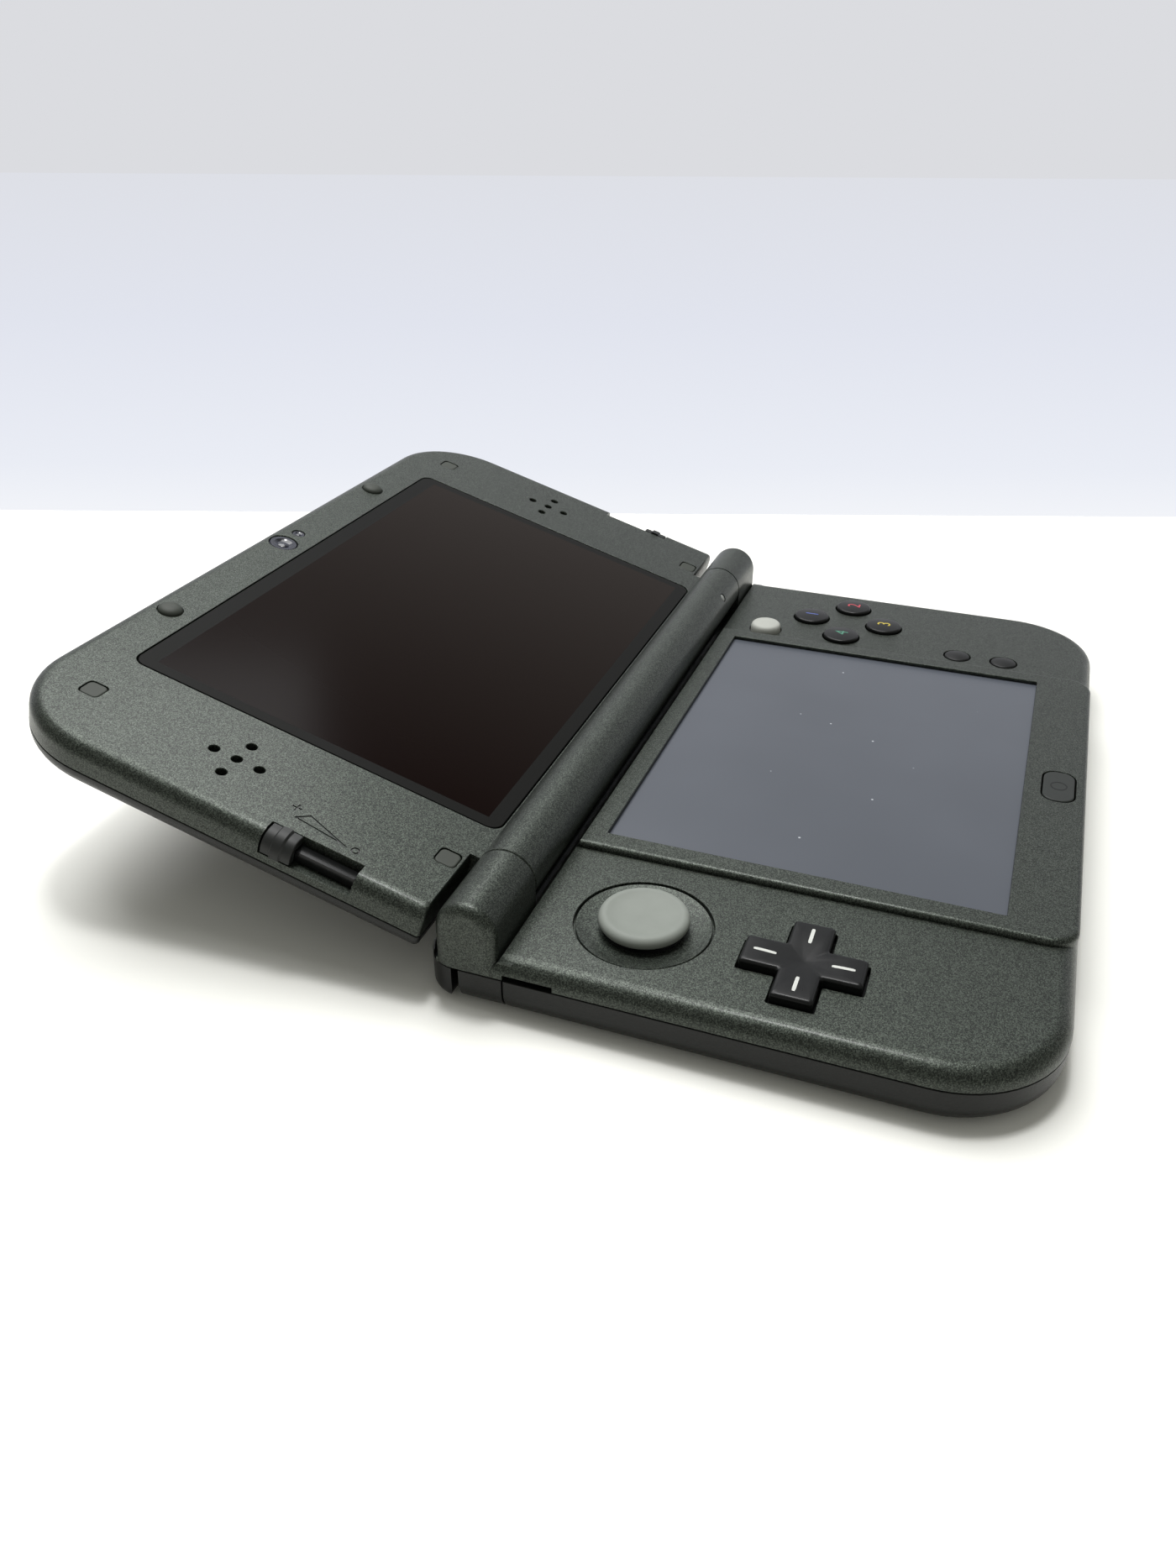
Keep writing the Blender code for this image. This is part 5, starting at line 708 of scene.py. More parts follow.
inset, lift = quarter(FLOOR_ROUND)
strip_rim = rise(strip_plan([0, EDGE_BREAK / 2]), [COVER_RIM - EDGE_BREAK / 2, COVER_RIM])
strip_form = skin(np.concatenate([rise(strip_plan(inset), lift), strip_rim]))
middle_frame = surface_object("middle_frame", strip_form, shaded_body_paint)
pocket_sides = [sorted((side * POCKET_INNER, side * reach)) for side in (-1, 1)]
carve(middle_frame, gather(*[block(*ends, POCKET_FRONT, BEHIND, -OVERRUN, ABOVE) for ends in pocket_sides]))
back_flare = [
    (HALF_DEPTH - PORT_DEPTH, PART_GAP), (HALF_DEPTH - EDGE_BREAK, PART_GAP),
    (HALF_DEPTH, PART_GAP + EDGE_BREAK), (BEHIND, PART_GAP + EDGE_BREAK),
]
carve(middle_frame, bar_along_y(*PORT, back_flare))
finish_piece(middle_frame, "base", "base_middle_frame", slot="rear_shell")

# Lower screen: a resistive touch panel over the display, a satin film that looks blue-grey when it is off.
# A little dust lies on it.
PANEL_TOP = 10.65 * MM
PANEL_THICKNESS = 0.9 * MM
PANEL_LAP = 1.7 * MM
DUST_PITCH = 6.0 * MM


def touch_film(name):
    """Satin film: one blue-grey with a broad soft change, and rare pale dust specks from a cell pattern."""
    material, tree, shader = new_material(name)
    cells = add(tree, "ShaderNodeTexVoronoi", Vector=spot(tree), Scale=1 / DUST_PITCH)
    speck = ramp(tree, cells.outputs["Distance"], 1.0, 0.0, From_Min=0.02, From_Max=0.045)
    film = blend(tree, noise(tree, 30 * MM), srgb("#474b52"), srgb("#53575f"))
    give(shader, Base_Color=blend(tree, speck, film, srgb("#b9bcc2")), Roughness=0.3, Specular_IOR_Level=0.35)
    return material


panel_x = WINDOW_HALF_WIDTH + PANEL_LAP
panel_y = (WINDOW_FRONT - PANEL_LAP, WINDOW_BACK + PANEL_LAP)
panel = block(-panel_x, panel_x, *panel_y, PANEL_TOP - PANEL_THICKNESS, PANEL_TOP, PANEL_MARGIN, 6)
dress("touch_film", panel, touch_film("resistive_touch_film"), "base", "touch_panel", "touch_panel")

# Slide pad: a dish in the body's paint, and a grey elastomer cap on a stem, dished on top with a soft rim.
# The skirt under the dish closes the throat.
CAP_RADIUS = 7.1 * MM
CAP_BOTTOM = 10.3 * MM
CAP_TOP = 12.5 * MM
STEM_RADIUS = 2.2 * MM
THROAT_RADIUS = 6.0 * MM
DISH_TOP = 9.7 * MM
SKIRT = (2.5 * MM, 9.6 * MM, 7.6 * MM, 8.1 * MM)
DISH_FLANGE = 12.4 * MM
DISH_FOOT = 8.7 * MM
FLANGE_TOP = 9.4 * MM


def ring_surface(centre, section, sides=96):
    """Closed outline of radius and height turned about an upright line: a ring without caps."""
    section = np.asarray(section, float)
    points = rise(ring_points(centre, section[:, 0], sides), section[:, 1])
    levels = len(section)
    k = np.arange(levels)[:, None] * sides
    i = np.arange(sides)
    after = (np.arange(levels)[:, None] + 1) % levels * sides
    quads = np.stack(np.broadcast_arrays(k + i, k + (i + 1) % sides, after + (i + 1) % sides, after + i), -1)
    return points.reshape(-1, 3), quads.reshape(-1, 4).tolist()


def elastomer(name, colour, roughness, grain_size=0.15 * MM):
    """Moulded rubber: one colour with a faint cloud, matt, with a fine pore bump."""
    material, tree, shader = new_material(name)
    cloud = ramp(tree, noise(tree, 3 * MM), 0.93, 1.05)
    tinted = add(tree, "ShaderNodeHueSaturation", Color=srgb(colour), Value=cloud)
    give(
        shader, Base_Color=tinted.outputs["Color"], Roughness=roughness, Specular_IOR_Level=0.35,
        Normal=bump(tree, noise(tree, grain_size), 0.3, 0.02 * MM),
    )
    return material


pad_rubber = elastomer("grey_elastomer", "#838882", 0.62)
dark_rubber = elastomer("black_elastomer", "#262827", 0.6)
dish_edge = PAD_WELL_RADIUS - 0.32 * MM
dish = [
    [THROAT_RADIUS, DISH_FOOT], [DISH_FLANGE, DISH_FOOT], [DISH_FLANGE, FLANGE_TOP], [dish_edge, FLANGE_TOP],
    [dish_edge, FACE - 0.28 * MM], [dish_edge - 0.1 * MM, FACE - 0.2 * MM],
    [dish_edge - 0.3 * MM, FACE - 0.22 * MM], [9.2 * MM, DISH_TOP + 0.1 * MM], [8.0 * MM, DISH_TOP - 0.05 * MM],
    [THROAT_RADIUS + 0.3 * MM, DISH_TOP - 0.15 * MM], [THROAT_RADIUS, DISH_TOP - 0.4 * MM],
]
dish_form = ring_surface((PAD_X, PAD_Y), dish)
dress("slide_pad_dish_ring", dish_form, body_paint, "base", "slide_pad_dish", "shell")
cap_height = CAP_TOP - CAP_BOTTOM
roll = np.linspace(-0.5 * math.pi, 0.62 * math.pi, 22)
roll_radius = cap_height / 2 - 0.02 * MM
rim_r = CAP_RADIUS - roll_radius + roll_radius * np.cos(roll)
rim_z = CAP_BOTTOM + roll_radius + roll_radius * np.sin(roll)
hollow_r = np.linspace(rim_r[-1] - 0.25 * MM, 0.15 * MM, 12)
hollow_z = CAP_TOP - 0.62 * MM + 0.5 * MM * (hollow_r / rim_r[-1]) ** 4
stem = [[STEM_RADIUS, 4.0 * MM], [STEM_RADIUS, CAP_BOTTOM]]
cap_profile = np.concatenate([stem, np.stack([rim_r, rim_z], -1), np.stack([hollow_r, hollow_z], -1)])
cap_form = turned((PAD_X, PAD_Y), cap_profile, 96)
dress("slide_pad_cap_top", cap_form, pad_rubber, "slide_pad", "slide_pad_cap", "pad_rubber", 50)
skirt = [[SKIRT[0], SKIRT[2]], [SKIRT[1], SKIRT[2]], [SKIRT[1], SKIRT[3]], [SKIRT[0], SKIRT[3]]]
skirt_form = ring_surface((PAD_X, PAD_Y), skirt, 48)
dress("slide_pad_skirt_disc", skirt_form, dark_rubber, "slide_pad", "slide_pad_skirt", "black_matte")

# Direction pad: one cross of glossy black ABS, its arms rising a little from a shallow dip in the middle.
# A pale line is printed on each arm.
DPAD_TOP = 11.9 * MM
DPAD_FOOT = 8.3 * MM
LINE_LENGTH = 3.4 * MM
LINE_WIDTH = 0.55 * MM
LINE_START = 4.1 * MM
DPAD_DIP = 0.55 * MM
DPAD_END_DROP = 0.1 * MM
DPAD_SIDE_TOP = DPAD_TOP - 0.9 * MM


def gloss_plastic(name, colour, roughness):
    """Polished moulded ABS: one colour, faint smears in its roughness, barely uneven."""
    material, tree, shader = new_material(name)
    smear = noise(tree, 2.5 * MM, 3.0, Distortion=0.6)
    give(
        shader, Base_Color=srgb(colour), Specular_IOR_Level=0.22,
        Roughness=ramp(tree, smear, roughness - 0.07, roughness + 0.09),
        Normal=bump(tree, noise(tree, 0.3 * MM), 0.08, 0.02 * MM),
    )
    return material


def print_and_groove_shade_ink(name, colour):
    """Pad-printed ink, also used as the painted shade in the volume marks' grooves: one matt colour, its
    coverage a little uneven.
    """
    material, tree, shader = new_material(name)
    cover = ramp(tree, noise(tree, 0.4 * MM), 0.85, 1.1)
    tinted = add(tree, "ShaderNodeHueSaturation", Color=srgb(colour), Value=cover)
    give(shader, Base_Color=tinted.outputs["Color"], Roughness=0.45)
    return material


def arm_height(x, y):
    """Top of the direction pad: lowest in the middle, rising with distance, level towards the arm ends."""
    away = np.hypot(x - DPAD_X, y - DPAD_Y) / (DPAD_SPAN / 2)
    dip = DPAD_DIP * (1 - np.clip(away * 1.25, 0, 1)) ** 1.5
    return DPAD_TOP - dip - DPAD_END_DROP * np.clip(away, 0, 1) ** 6


black_gloss = gloss_plastic("glossy_black_abs", "#101111", 0.3)
edge_in, edge_drop = quarter(0.55 * MM, 6)
grow = np.concatenate([[2.0 * MM, 2.0 * MM, 0, 0], -2 * edge_in[::-1]])
flange_top = DPAD_FOOT + 0.45 * MM
heights = np.concatenate([[DPAD_FOOT, flange_top, flange_top, DPAD_SIDE_TOP], DPAD_TOP - edge_drop[::-1]])
crosses = np.stack([cross_outline((DPAD_X, DPAD_Y), DPAD_SPAN + g, DPAD_ARM + g, 0.5 * MM) for g in grow])
shrink = np.linspace(0.94, 0.06, 12)[:, None, None]
crown = (crosses[-1] - (DPAD_X, DPAD_Y)) * shrink + (DPAD_X, DPAD_Y)
rings = np.concatenate([rise(crosses, heights), rise(crown, np.full(12, DPAD_TOP))])
rings[4:, :, 2] += arm_height(rings[4:, :, 0], rings[4:, :, 1]) - DPAD_TOP
dress("direction_pad_cross", skin(rings), black_gloss, "direction_pad", "direction_pad", "black_gloss", 40)
pale_ink = print_and_groove_shade_ink("pale_grey_ink", "#c9cbc6")
along = np.linspace(LINE_START, LINE_START + LINE_LENGTH, 9)
half = LINE_WIDTH / 2 * np.array([0.7, 1, 1, 1, 1, 1, 1, 1, 0.7])
across = np.stack([-half, half, half, -half], -1)
strip = np.stack([np.broadcast_to(along[:, None], across.shape), across], -1)
lift = np.array([-0.2, -0.2, 0.02, 0.02]) * MM
for turn, label in enumerate(("right", "back", "left", "front")):
    c, s = round(math.cos(math.pi / 2 * turn)), round(math.sin(math.pi / 2 * turn))
    line = strip @ np.array([[c, s], [-s, c]]) + (DPAD_X, DPAD_Y)
    height = arm_height(line[..., 0], line[..., 1]) + lift
    form = skin(np.concatenate([line, height[..., None]], -1))
    mark = surface_object("direction_mark_" + label, form, pale_ink)
    mark.data.shade_flat()
    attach(mark, "direction_pad")

# Face buttons: four glossy domed action buttons, each with a small coloured number; two small dark
# buttons; the home button; and a grey rubber nub that senses pressure.
ACTION_TOP = 11.3 * MM
SMALL_TOP = 10.8 * MM
NUB_TOP = 12.2 * MM
BUTTON_FOOT = 8.55 * MM
NUMBERS = {
    "top": ("1", "#4a5a9e"), "right": ("2", "#b03a48"), "bottom": ("3", "#b5a23a"), "left": ("4", "#3f7a64")
}
NUMBER_SIZE = 4.2 * MM
NUB_FLANGE = 4.2 * MM
NUB_FOOT = 7.7 * MM
HOME_TOP = 11.58 * MM
HOME_FOOT = 8.2 * MM
HOME_RING = (1.25 * MM, 1.5 * MM, 11.5 * MM, 11.6 * MM)


def domed(radius, foot, top, dome, edge=0.45 * MM):
    """Button profile: flange, straight side, rounded edge, then a shallow dome dome (1 - (r / R) squared)."""
    round_in, round_drop = quarter(edge, 5)
    rim_radius = radius - edge
    crown_r = np.linspace(rim_radius, 0.1 * MM, 8)[1:]
    crown_z = top - dome * (crown_r / rim_radius) ** 2
    flange = radius + 0.7 * MM
    foot_rows = [[flange, foot], [flange, foot + 0.45 * MM], [radius, foot + 0.45 * MM]]
    side_rows = np.stack([radius - edge + (edge - round_in[::-1]), top - dome - round_drop[::-1]], -1)
    return np.concatenate([foot_rows, side_rows, np.stack([crown_r, crown_z], -1)])


def flat_text(name, text, size, place, height, material):
    """Flat number as a mesh, centred on a place, a hair above the surface."""
    curve = bpy.data.curves.new(name, "FONT")
    curve.body = text
    curve.size = size
    curve.align_x = "CENTER"
    curve.align_y = "CENTER"
    curve.extrude = 0.02 * MM
    source = bpy.data.objects.new(name + "_curve", curve)
    bpy.context.scene.collection.objects.link(source)
    bpy.context.view_layer.update()
    mesh = bpy.data.meshes.new_from_object(source.evaluated_get(bpy.context.evaluated_depsgraph_get()))
    bpy.data.objects.remove(source)
    mesh.materials.clear()
    mesh.materials.append(material)
    points = np.empty(len(mesh.vertices) * 3)
    mesh.vertices.foreach_get("co", points)
    points = points.reshape(-1, 3)
    middle = (points.min(0) + points.max(0)) / 2
    points += np.array([*place, height]) - middle
    mesh.vertices.foreach_set("co", points.reshape(-1))
    mesh.name = name
    made = bpy.data.objects.new(name, mesh)
    bpy.context.scene.collection.objects.link(made)
    return made


satin_black = gloss_plastic("satin_black_abs", "#161717", 0.42)
nub_rubber = elastomer("pale_grey_elastomer", "#a9aba5", 0.6)
for label, place in ACTION_PLACES.items():
    form = turned(place, domed(ACTION_RADIUS, BUTTON_FOOT, ACTION_TOP, 0.25 * MM), 64)
    node = "action_button_" + label
    dress("action_cap_" + label, form, black_gloss, node, node, "black_gloss", 50)
    text, colour = NUMBERS[label]
    ink = print_and_groove_shade_ink("ink_" + label, colour)
    number = flat_text("number_" + label, text, NUMBER_SIZE, place, ACTION_TOP - 0.02 * MM, ink)
    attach(number, node)
for label, place in SMALL_PLACES.items():
    form = turned(place, domed(SMALL_RADIUS, BUTTON_FOOT, SMALL_TOP, 0.3 * MM))
    dress(label + "_cap", form, satin_black, label + "_button", label + "_button", "black_gloss", 50)
nub_r = np.linspace(NUB_RADIUS - 0.5 * MM, 0.1 * MM, 10)
nub_z = NUB_TOP - 0.5 * MM * (nub_r / NUB_RADIUS) ** 2.5
nub_side = [
    [NUB_FLANGE, NUB_FOOT], [NUB_FLANGE, NUB_FOOT + 1.3 * MM], [NUB_RADIUS, NUB_FOOT + 1.3 * MM],
    [NUB_RADIUS, 10.6 * MM], [NUB_RADIUS - 0.06 * MM, 11.2 * MM], [NUB_RADIUS - 0.22 * MM, 11.6 * MM],
]
nub_form = turned(NUB_PLACE, np.concatenate([nub_side, np.stack([nub_r, nub_z], -1)]), 64)
dress("camera_nub_cap", nub_form, nub_rubber, "base", "camera_stick_nub", "nub_rubber", 50)

inset, drop = quarter(0.3 * MM, 4)
inset = np.append(inset[-1], inset[::-1])
home_heights = np.append(HOME_FOOT, HOME_TOP - drop[::-1])
home_x = HOME_HALF_WIDTH - inset
home_y = HOME_HALF_DEPTH - inset
home_plan = outline(-home_x, home_x, HOME_Y - home_y, HOME_Y + home_y, (HOME_CORNER - inset,) * 4, 8)
satin_grey = gloss_plastic("satin_dark_grey_abs", "#2b2e2c", 0.42)
home_form = skin(rise(home_plan, home_heights))
dress("home_cap", home_form, satin_grey, "home_button", "home_button", "black_matte")
low, high = HOME_RING[2:]
home_ring = [[HOME_RING[0], low], [HOME_RING[1], low], [HOME_RING[1], high], [HOME_RING[0], high]]
ring_mark = surface_object("home_ring", ring_surface((0, HOME_Y), home_ring, 48), satin_black)
ring_mark.data.shade_flat()
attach(ring_mark, "home_button")

# Side and front controls: glossy black shoulder buttons that wrap the back corners, small triggers beside
# them, the oblong power button and the stylus, all moulded ABS.
BUTTON_LOW = 0.6 * MM
SHOULDER_TOP = 7.8 * MM
SHOULDER_FRONT = 41.75 * MM
SHOULDER_END = 56.5 * MM
SHOULDER_BACK = 46.75 * MM
TRIGGER_X = (44.7 * MM, 56.3 * MM)
TRIGGER_Y = (41.9 * MM, 46.35 * MM)
TRIGGER_TOP = 6.6 * MM
STYLUS_LENGTH = 86.0 * MM
PEN_HEAD = -46.6 * MM
PEN_POINT = 9.0 * MM
JACK_BORE = 1.75 * MM


def turned_on_y(centre, profile, sides=40):
    """Surface of revolution about a line along Y through rows of radius and Y, capped at both ends."""
    radius, places = np.asarray(profile, float).T
    return along_y(ring_points(centre, radius, sides), places)


def shoulder_plan(side, inset, steps=20):
    """Plan outlines of a shoulder button: square inner end, outer back corner on the arc of the case."""
    inset = np.asarray(inset, float)[:, None]
    radius = BACK_CORNER - inset
    front = SHOULDER_FRONT + inset
    arc_x = HALF_WIDTH - PART_GAP - BACK_CORNER
    arc_y = HALF_DEPTH - BACK_CORNER
    first = np.arcsin((front - arc_y) / radius)
    angle = first + (math.pi / 2 - first) * np.linspace(0, 1, steps + 1)
    inner = SHOULDER_END + inset
    x = np.concatenate([inner, arc_x + radius * np.cos(angle), inner], -1)
    y = np.concatenate([front, arc_y + radius * np.sin(angle), SHOULDER_BACK - inset], -1)
    return np.stack([side * x, y], -1)


low_inset, low_rise = quarter(1.6 * MM, 8)
top_inset, top_drop = quarter(0.6 * MM, 5)
for side, label in ((-1, "left"), (1, "right")):
    rings = np.concatenate([
        rise(shoulder_plan(side, low_inset), BUTTON_LOW + low_rise),
        rise(shoulder_plan(side, top_inset[::-1]), SHOULDER_TOP - top_drop[::-1]),
    ])
    shoulder = surface_object("shoulder_cap_" + label, skin(rings), black_gloss)
    carve(shoulder, block(-90 * MM, 90 * MM, 36 * MM, HALF_DEPTH - 1.2 * MM, TRIGGER_TOP, ABOVE))
    finish_piece(shoulder, "shoulder_button_" + label, "shoulder_button_" + label, slot="black_gloss")
    x0, x1 = sorted((side * TRIGGER_X[0], side * TRIGGER_X[1]))
    insets = np.concatenate([low_inset, top_inset[::-1]])
    levels = np.concatenate([BUTTON_LOW + low_rise, TRIGGER_TOP - top_drop[::-1]])
    sides = (x0 + insets, x1 - insets, TRIGGER_Y[0] + insets, TRIGGER_Y[1] - insets)
    form = skin(rise(outline(*sides, (0.3 * MM + 0 * insets,) * 4, 4), levels))
    node = "inner_trigger_" + label
    dress("trigger_cap_" + label, form, black_gloss, node, node, "black_gloss")

round_in, round_drop = quarter(0.25 * MM, 4)
nose = np.stack([round_drop, -round_in], -1)
power_low, power_high = np.array(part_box("power_button"))
power_rows = np.concatenate([nose + (power_low[1], 0), [(power_high[1], 0)]])
power_form = bar_along_y(*POWER, power_rows, 8)
dress("power_cap", power_form, satin_black, "power_button", "power_button", "black_matte")

pen_tip = PEN_HEAD + STYLUS_LENGTH - PART_GAP
pen_rows = np.concatenate([nose + (PEN_HEAD, 0), [
    (PEN_HEAD + STYLUS_LENGTH - PEN_POINT, 0), (pen_tip - 1.2 * MM, -1.2 * MM),
    (pen_tip - 0.3 * MM, -1.3 * MM), (pen_tip, -1.5 * MM),
]])
dress("stylus_pen", bar_along_y(*STYLUS, pen_rows, 6), satin_black, "stylus", "stylus", "black_matte")

jack_front = -HALF_DEPTH + 0.3 * MM
jack_nose = [
    [JACK_RADIUS, jack_front + FLOOR_ROUND], [JACK_RADIUS, jack_front + 0.15 * MM],
    [JACK_RADIUS - 0.15 * MM, jack_front], [JACK_BORE + 0.2 * MM, jack_front],
    [JACK_BORE, jack_front + 0.2 * MM], [JACK_BORE, jack_front + 4.0 * MM],
]
jack_low, jack_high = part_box("headphone_jack")
jack_start = FLOOR_ROUND - HALF_DEPTH + 0.05 * MM
jack_body = block(jack_low[0], jack_high[0], jack_start, jack_high[1], jack_low[2], jack_high[2])
jack_form = gather(turned_on_y(JACK_PLACE, jack_nose), jack_body)
dress("jack_socket", jack_form, satin_black, "base", "headphone_jack", "black_matte")

# Inner half of the lid: the same painted ABS, with the hinge barrel moulded along its lower edge. It has the
# bed of the lens, sound holes, round and square recesses, and a slot for a slider in each side edge.
LID_TILT_DEG = 16.0
LID_FACE = 0.8 * MM
LID_REACH = 86.0 * MM
LID_HINGE_EDGE = 6.4 * MM
LID_CORNER = 18.0 * MM
LID_SEAM = -4.34 * MM
LID_RIM = -4.5 * MM
LID_OUTSIDE = -7.8 * MM
LID_ROUND = 2.6 * MM
LID_HINGE_ROUND = 0.5 * MM
LID_SKIN = 1.8 * MM
BARREL_HALF = 63.8 * MM
LENS_HALF_WIDTH = 55.6 * MM
LENS_Y = (5.4 * MM, 76.0 * MM)
LENS_CORNER = 2.2 * MM
LENS_GAP = 0.15 * MM
SPEAKER_X = 67.0 * MM
SPEAKER_Y = 47.4 * MM
SPEAKER_HOLE = 0.9 * MM
SPEAKER_PITCH = 4.25 * MM
TOP_ROW = 81.1 * MM
CAMERA_RADIUS = 2.8 * MM
INFRARED_X = 5.9 * MM
INFRARED_RADIUS = 1.25 * MM
BUMPER_X = 38.0 * MM
BUMPER_RADIUS = 2.2 * MM
PLUG_X = 66.6 * MM
PLUG_Y = {"lower": 9.2 * MM, "upper": 75.0 * MM}
PLUG_SIZE = 3.6 * MM
PLUG_CORNER = 0.9 * MM
SLOT_Y = (18.6 * MM, 34.7 * MM)
SLOT_INNER = 76.3 * MM
SLOT_FLOOR = -2.9 * MM
LIGHT_X = 52.0 * MM
LIGHT_ANGLE_DEG = 130.0
LIGHT_RADIUS = 0.9 * MM
WEDGE = ((-73.3 * MM, 32.6 * MM), (-74.2 * MM, 23.7 * MM), (-71.6 * MM, 30.9 * MM))
LEAST_PLACE = (-74.3 * MM, 21.4 * MM)
MORE_PLACE = (-71.2 * MM, 33.6 * MM)
MARK_WIDTH = 0.3 * MM
MARK_DEPTH = 0.2 * MM
BARREL_WEB = (2.525 * MM, 8.4 * MM, -3.9 * MM)
HINGE_BORE = 3.6 * MM
SLOT_WALL = 1.0 * MM
LENS_DEPTH = 1.0 * MM
LENS_LEDGE = 2.3 * MM
BUMPER_DEPTH = 0.6 * MM
PLUG_DEPTH = 0.9 * MM
PLUG_GAP = 0.12 * MM
lid_place = Matrix.Translation((0, HINGE_Y, HINGE_Z)) @ Matrix.Rotation(math.radians(LID_TILT_DEG), 4, "X")


def lay_on_lid(piece):
    """Move a piece made in the lid's own frame to the lid's place: origin on the hinge, tilted back."""
    piece.data.transform(lid_place)
    return piece


def dress_lid(name, form, material, node, slot, angle=30, body="lid"):
    """Piece of the lid made of one surface in the lid's own frame, which rides on a body for one CAD node."""
    return finish_piece(lay_on_lid(surface_object(name, form, material)), body, node, slot=slot, angle=angle)


def lid_plan(inset, hinge_inset, steps=16):
    """Plan outlines of the lid in its own frame, drawn in by one inset all round and another at the hinge."""
    inset = np.asarray(inset, float)
    top = LID_CORNER - inset
    small = np.full_like(inset, LID_HINGE_ROUND + PART_GAP)
    start = LID_HINGE_EDGE + np.asarray(hinge_inset, float) + 0 * inset
    sides = (inset - HALF_WIDTH, HALF_WIDTH - inset, start, LID_REACH - inset)
    return outline(*sides, (small, small, top, top), steps)


def turned_on_x(profile, sides=96):
    """Surface of revolution about the lid's hinge line through rows of radius and X, capped at both ends."""
    radius, places = np.asarray(profile, float).T
    return along_x(ring_points((0, 0), radius, sides), places)


def peg(x, angle_deg, rows, sides=32):
    """Surface of revolution about a line out from the hinge axis, through rows of radius and distance."""
    rows = np.asarray(rows, float)
    out = np.array([0, math.cos(math.radians(angle_deg)), math.sin(math.radians(angle_deg))])
    across = np.array([0, -out[2], out[1]])
    turn = 2 * math.pi * np.arange(sides) / sides
    ring = np.cos(turn)[:, None] * np.array([1, 0, 0]) + np.sin(turn)[:, None] * across
    return skin(np.array([x, 0, 0]) + rows[:, 0, None, None] * ring + rows[:, 1, None, None] * out)


ceiling = LID_FACE - LID_SKIN
inset, drop = quarter(LID_ROUND)
bezel_rings = np.concatenate([
    rise(lid_plan([WALL + LID_ROUND / 2, WALL, WALL], WALL), [ceiling, ceiling - LID_ROUND / 2, LID_SEAM]),
    rise(lid_plan([EDGE_BREAK / 2, 0], 0), [LID_SEAM, LID_SEAM + EDGE_BREAK / 2]),
    rise(lid_plan(inset[::-1], LID_HINGE_ROUND * inset[::-1] / LID_ROUND), LID_FACE - drop[::-1]),
])
lid_bezel = surface_object("lid_inner_shell", skin(bezel_rings), body_paint)
web_x = BARREL_HALF - PART_GAP
carve(lid_bezel, block(-web_x, web_x, *BARREL_WEB, LID_FACE), "UNION")
barrel_end = BARREL_HALF - EDGE_BREAK
barrel_round = BARREL_RADIUS - EDGE_BREAK
barrel = [
    [barrel_round, -BARREL_HALF], [BARREL_RADIUS, -barrel_end], [BARREL_RADIUS, barrel_end],
    [barrel_round, BARREL_HALF],
]
carve(lid_bezel, turned_on_x(barrel), "UNION")
carve(lid_bezel, turned_on_x([[HINGE_BORE, -HALF_WIDTH], [HINGE_BORE, HALF_WIDTH]], 48))
for side in (-1, 1):
    wall_x = sorted((side * (SLOT_INNER - SLOT_WALL), side * (HALF_WIDTH - WALL / 2)))
    wall_y = (SLOT_Y[0] - SLOT_WALL, SLOT_Y[1] + SLOT_WALL)
    carve(lid_bezel, block(*wall_x, *wall_y, SLOT_FLOOR - SLOT_WALL, LID_FACE - LID_SKIN / 2), "UNION")
under = LID_FACE - LID_SKIN - OVERRUN
bed_x = LENS_HALF_WIDTH + LENS_GAP
bed_y = (LENS_Y[0] - LENS_GAP, LENS_Y[1] + LENS_GAP)
openings = [
    flared_block(-bed_x, bed_x, *bed_y, LENS_CORNER + LENS_GAP, LID_FACE - LENS_DEPTH, LID_FACE, 0.1 * MM, 8)
]
for side in (-1, 1):
    for dx, dy in ((0, 0), (1, 0), (-1, 0), (0, 1), (0, -1)):
        place = (side * SPEAKER_X + dx * SPEAKER_PITCH, SPEAKER_Y + dy * SPEAKER_PITCH)
        openings.append(turned(place, flared(SPEAKER_HOLE, under, LID_FACE, 0.2 * MM), 28))
    bumper_seat = flared(BUMPER_RADIUS + 0.15 * MM, LID_FACE - BUMPER_DEPTH, LID_FACE)
    openings.append(turned((side * BUMPER_X, TOP_ROW), bumper_seat, 40))
    x, half = side * PLUG_X, PLUG_SIZE / 2 + PLUG_GAP
    for y in PLUG_Y.values():
        plug_sides = (x - half, x + half, y - half, y + half)
        openings.append(flared_block(*plug_sides, PLUG_CORNER, LID_FACE - PLUG_DEPTH, LID_FACE, 0.1 * MM))
    slot_x = sorted((side * SLOT_INNER, side * (HALF_WIDTH + OVERRUN)))
    openings.append(flared_block(*slot_x, *SLOT_Y, 0.05 * MM, SLOT_FLOOR, LID_FACE, steps=2))
openings.append(turned((0, TOP_ROW), flared(CAMERA_RADIUS + 0.12 * MM, under, LID_FACE, 0.3 * MM)))
openings.append(turned((INFRARED_X, TOP_ROW), flared(INFRARED_RADIUS + 0.12 * MM, under, LID_FACE), 32))
openings.append(peg(LIGHT_X, LIGHT_ANGLE_DEG, [[1.0 * MM, 3.2 * MM], [1.0 * MM, 9 * MM]]))
carve(lid_bezel, gather(*openings))
window_x = LENS_HALF_WIDTH - LENS_LEDGE
window_y = (LENS_Y[0] + LENS_LEDGE, LENS_Y[1] - LENS_LEDGE)
carve(lid_bezel, block(-window_x, window_x, *window_y, under, 2 * MM, 0.3 * MM, 2))


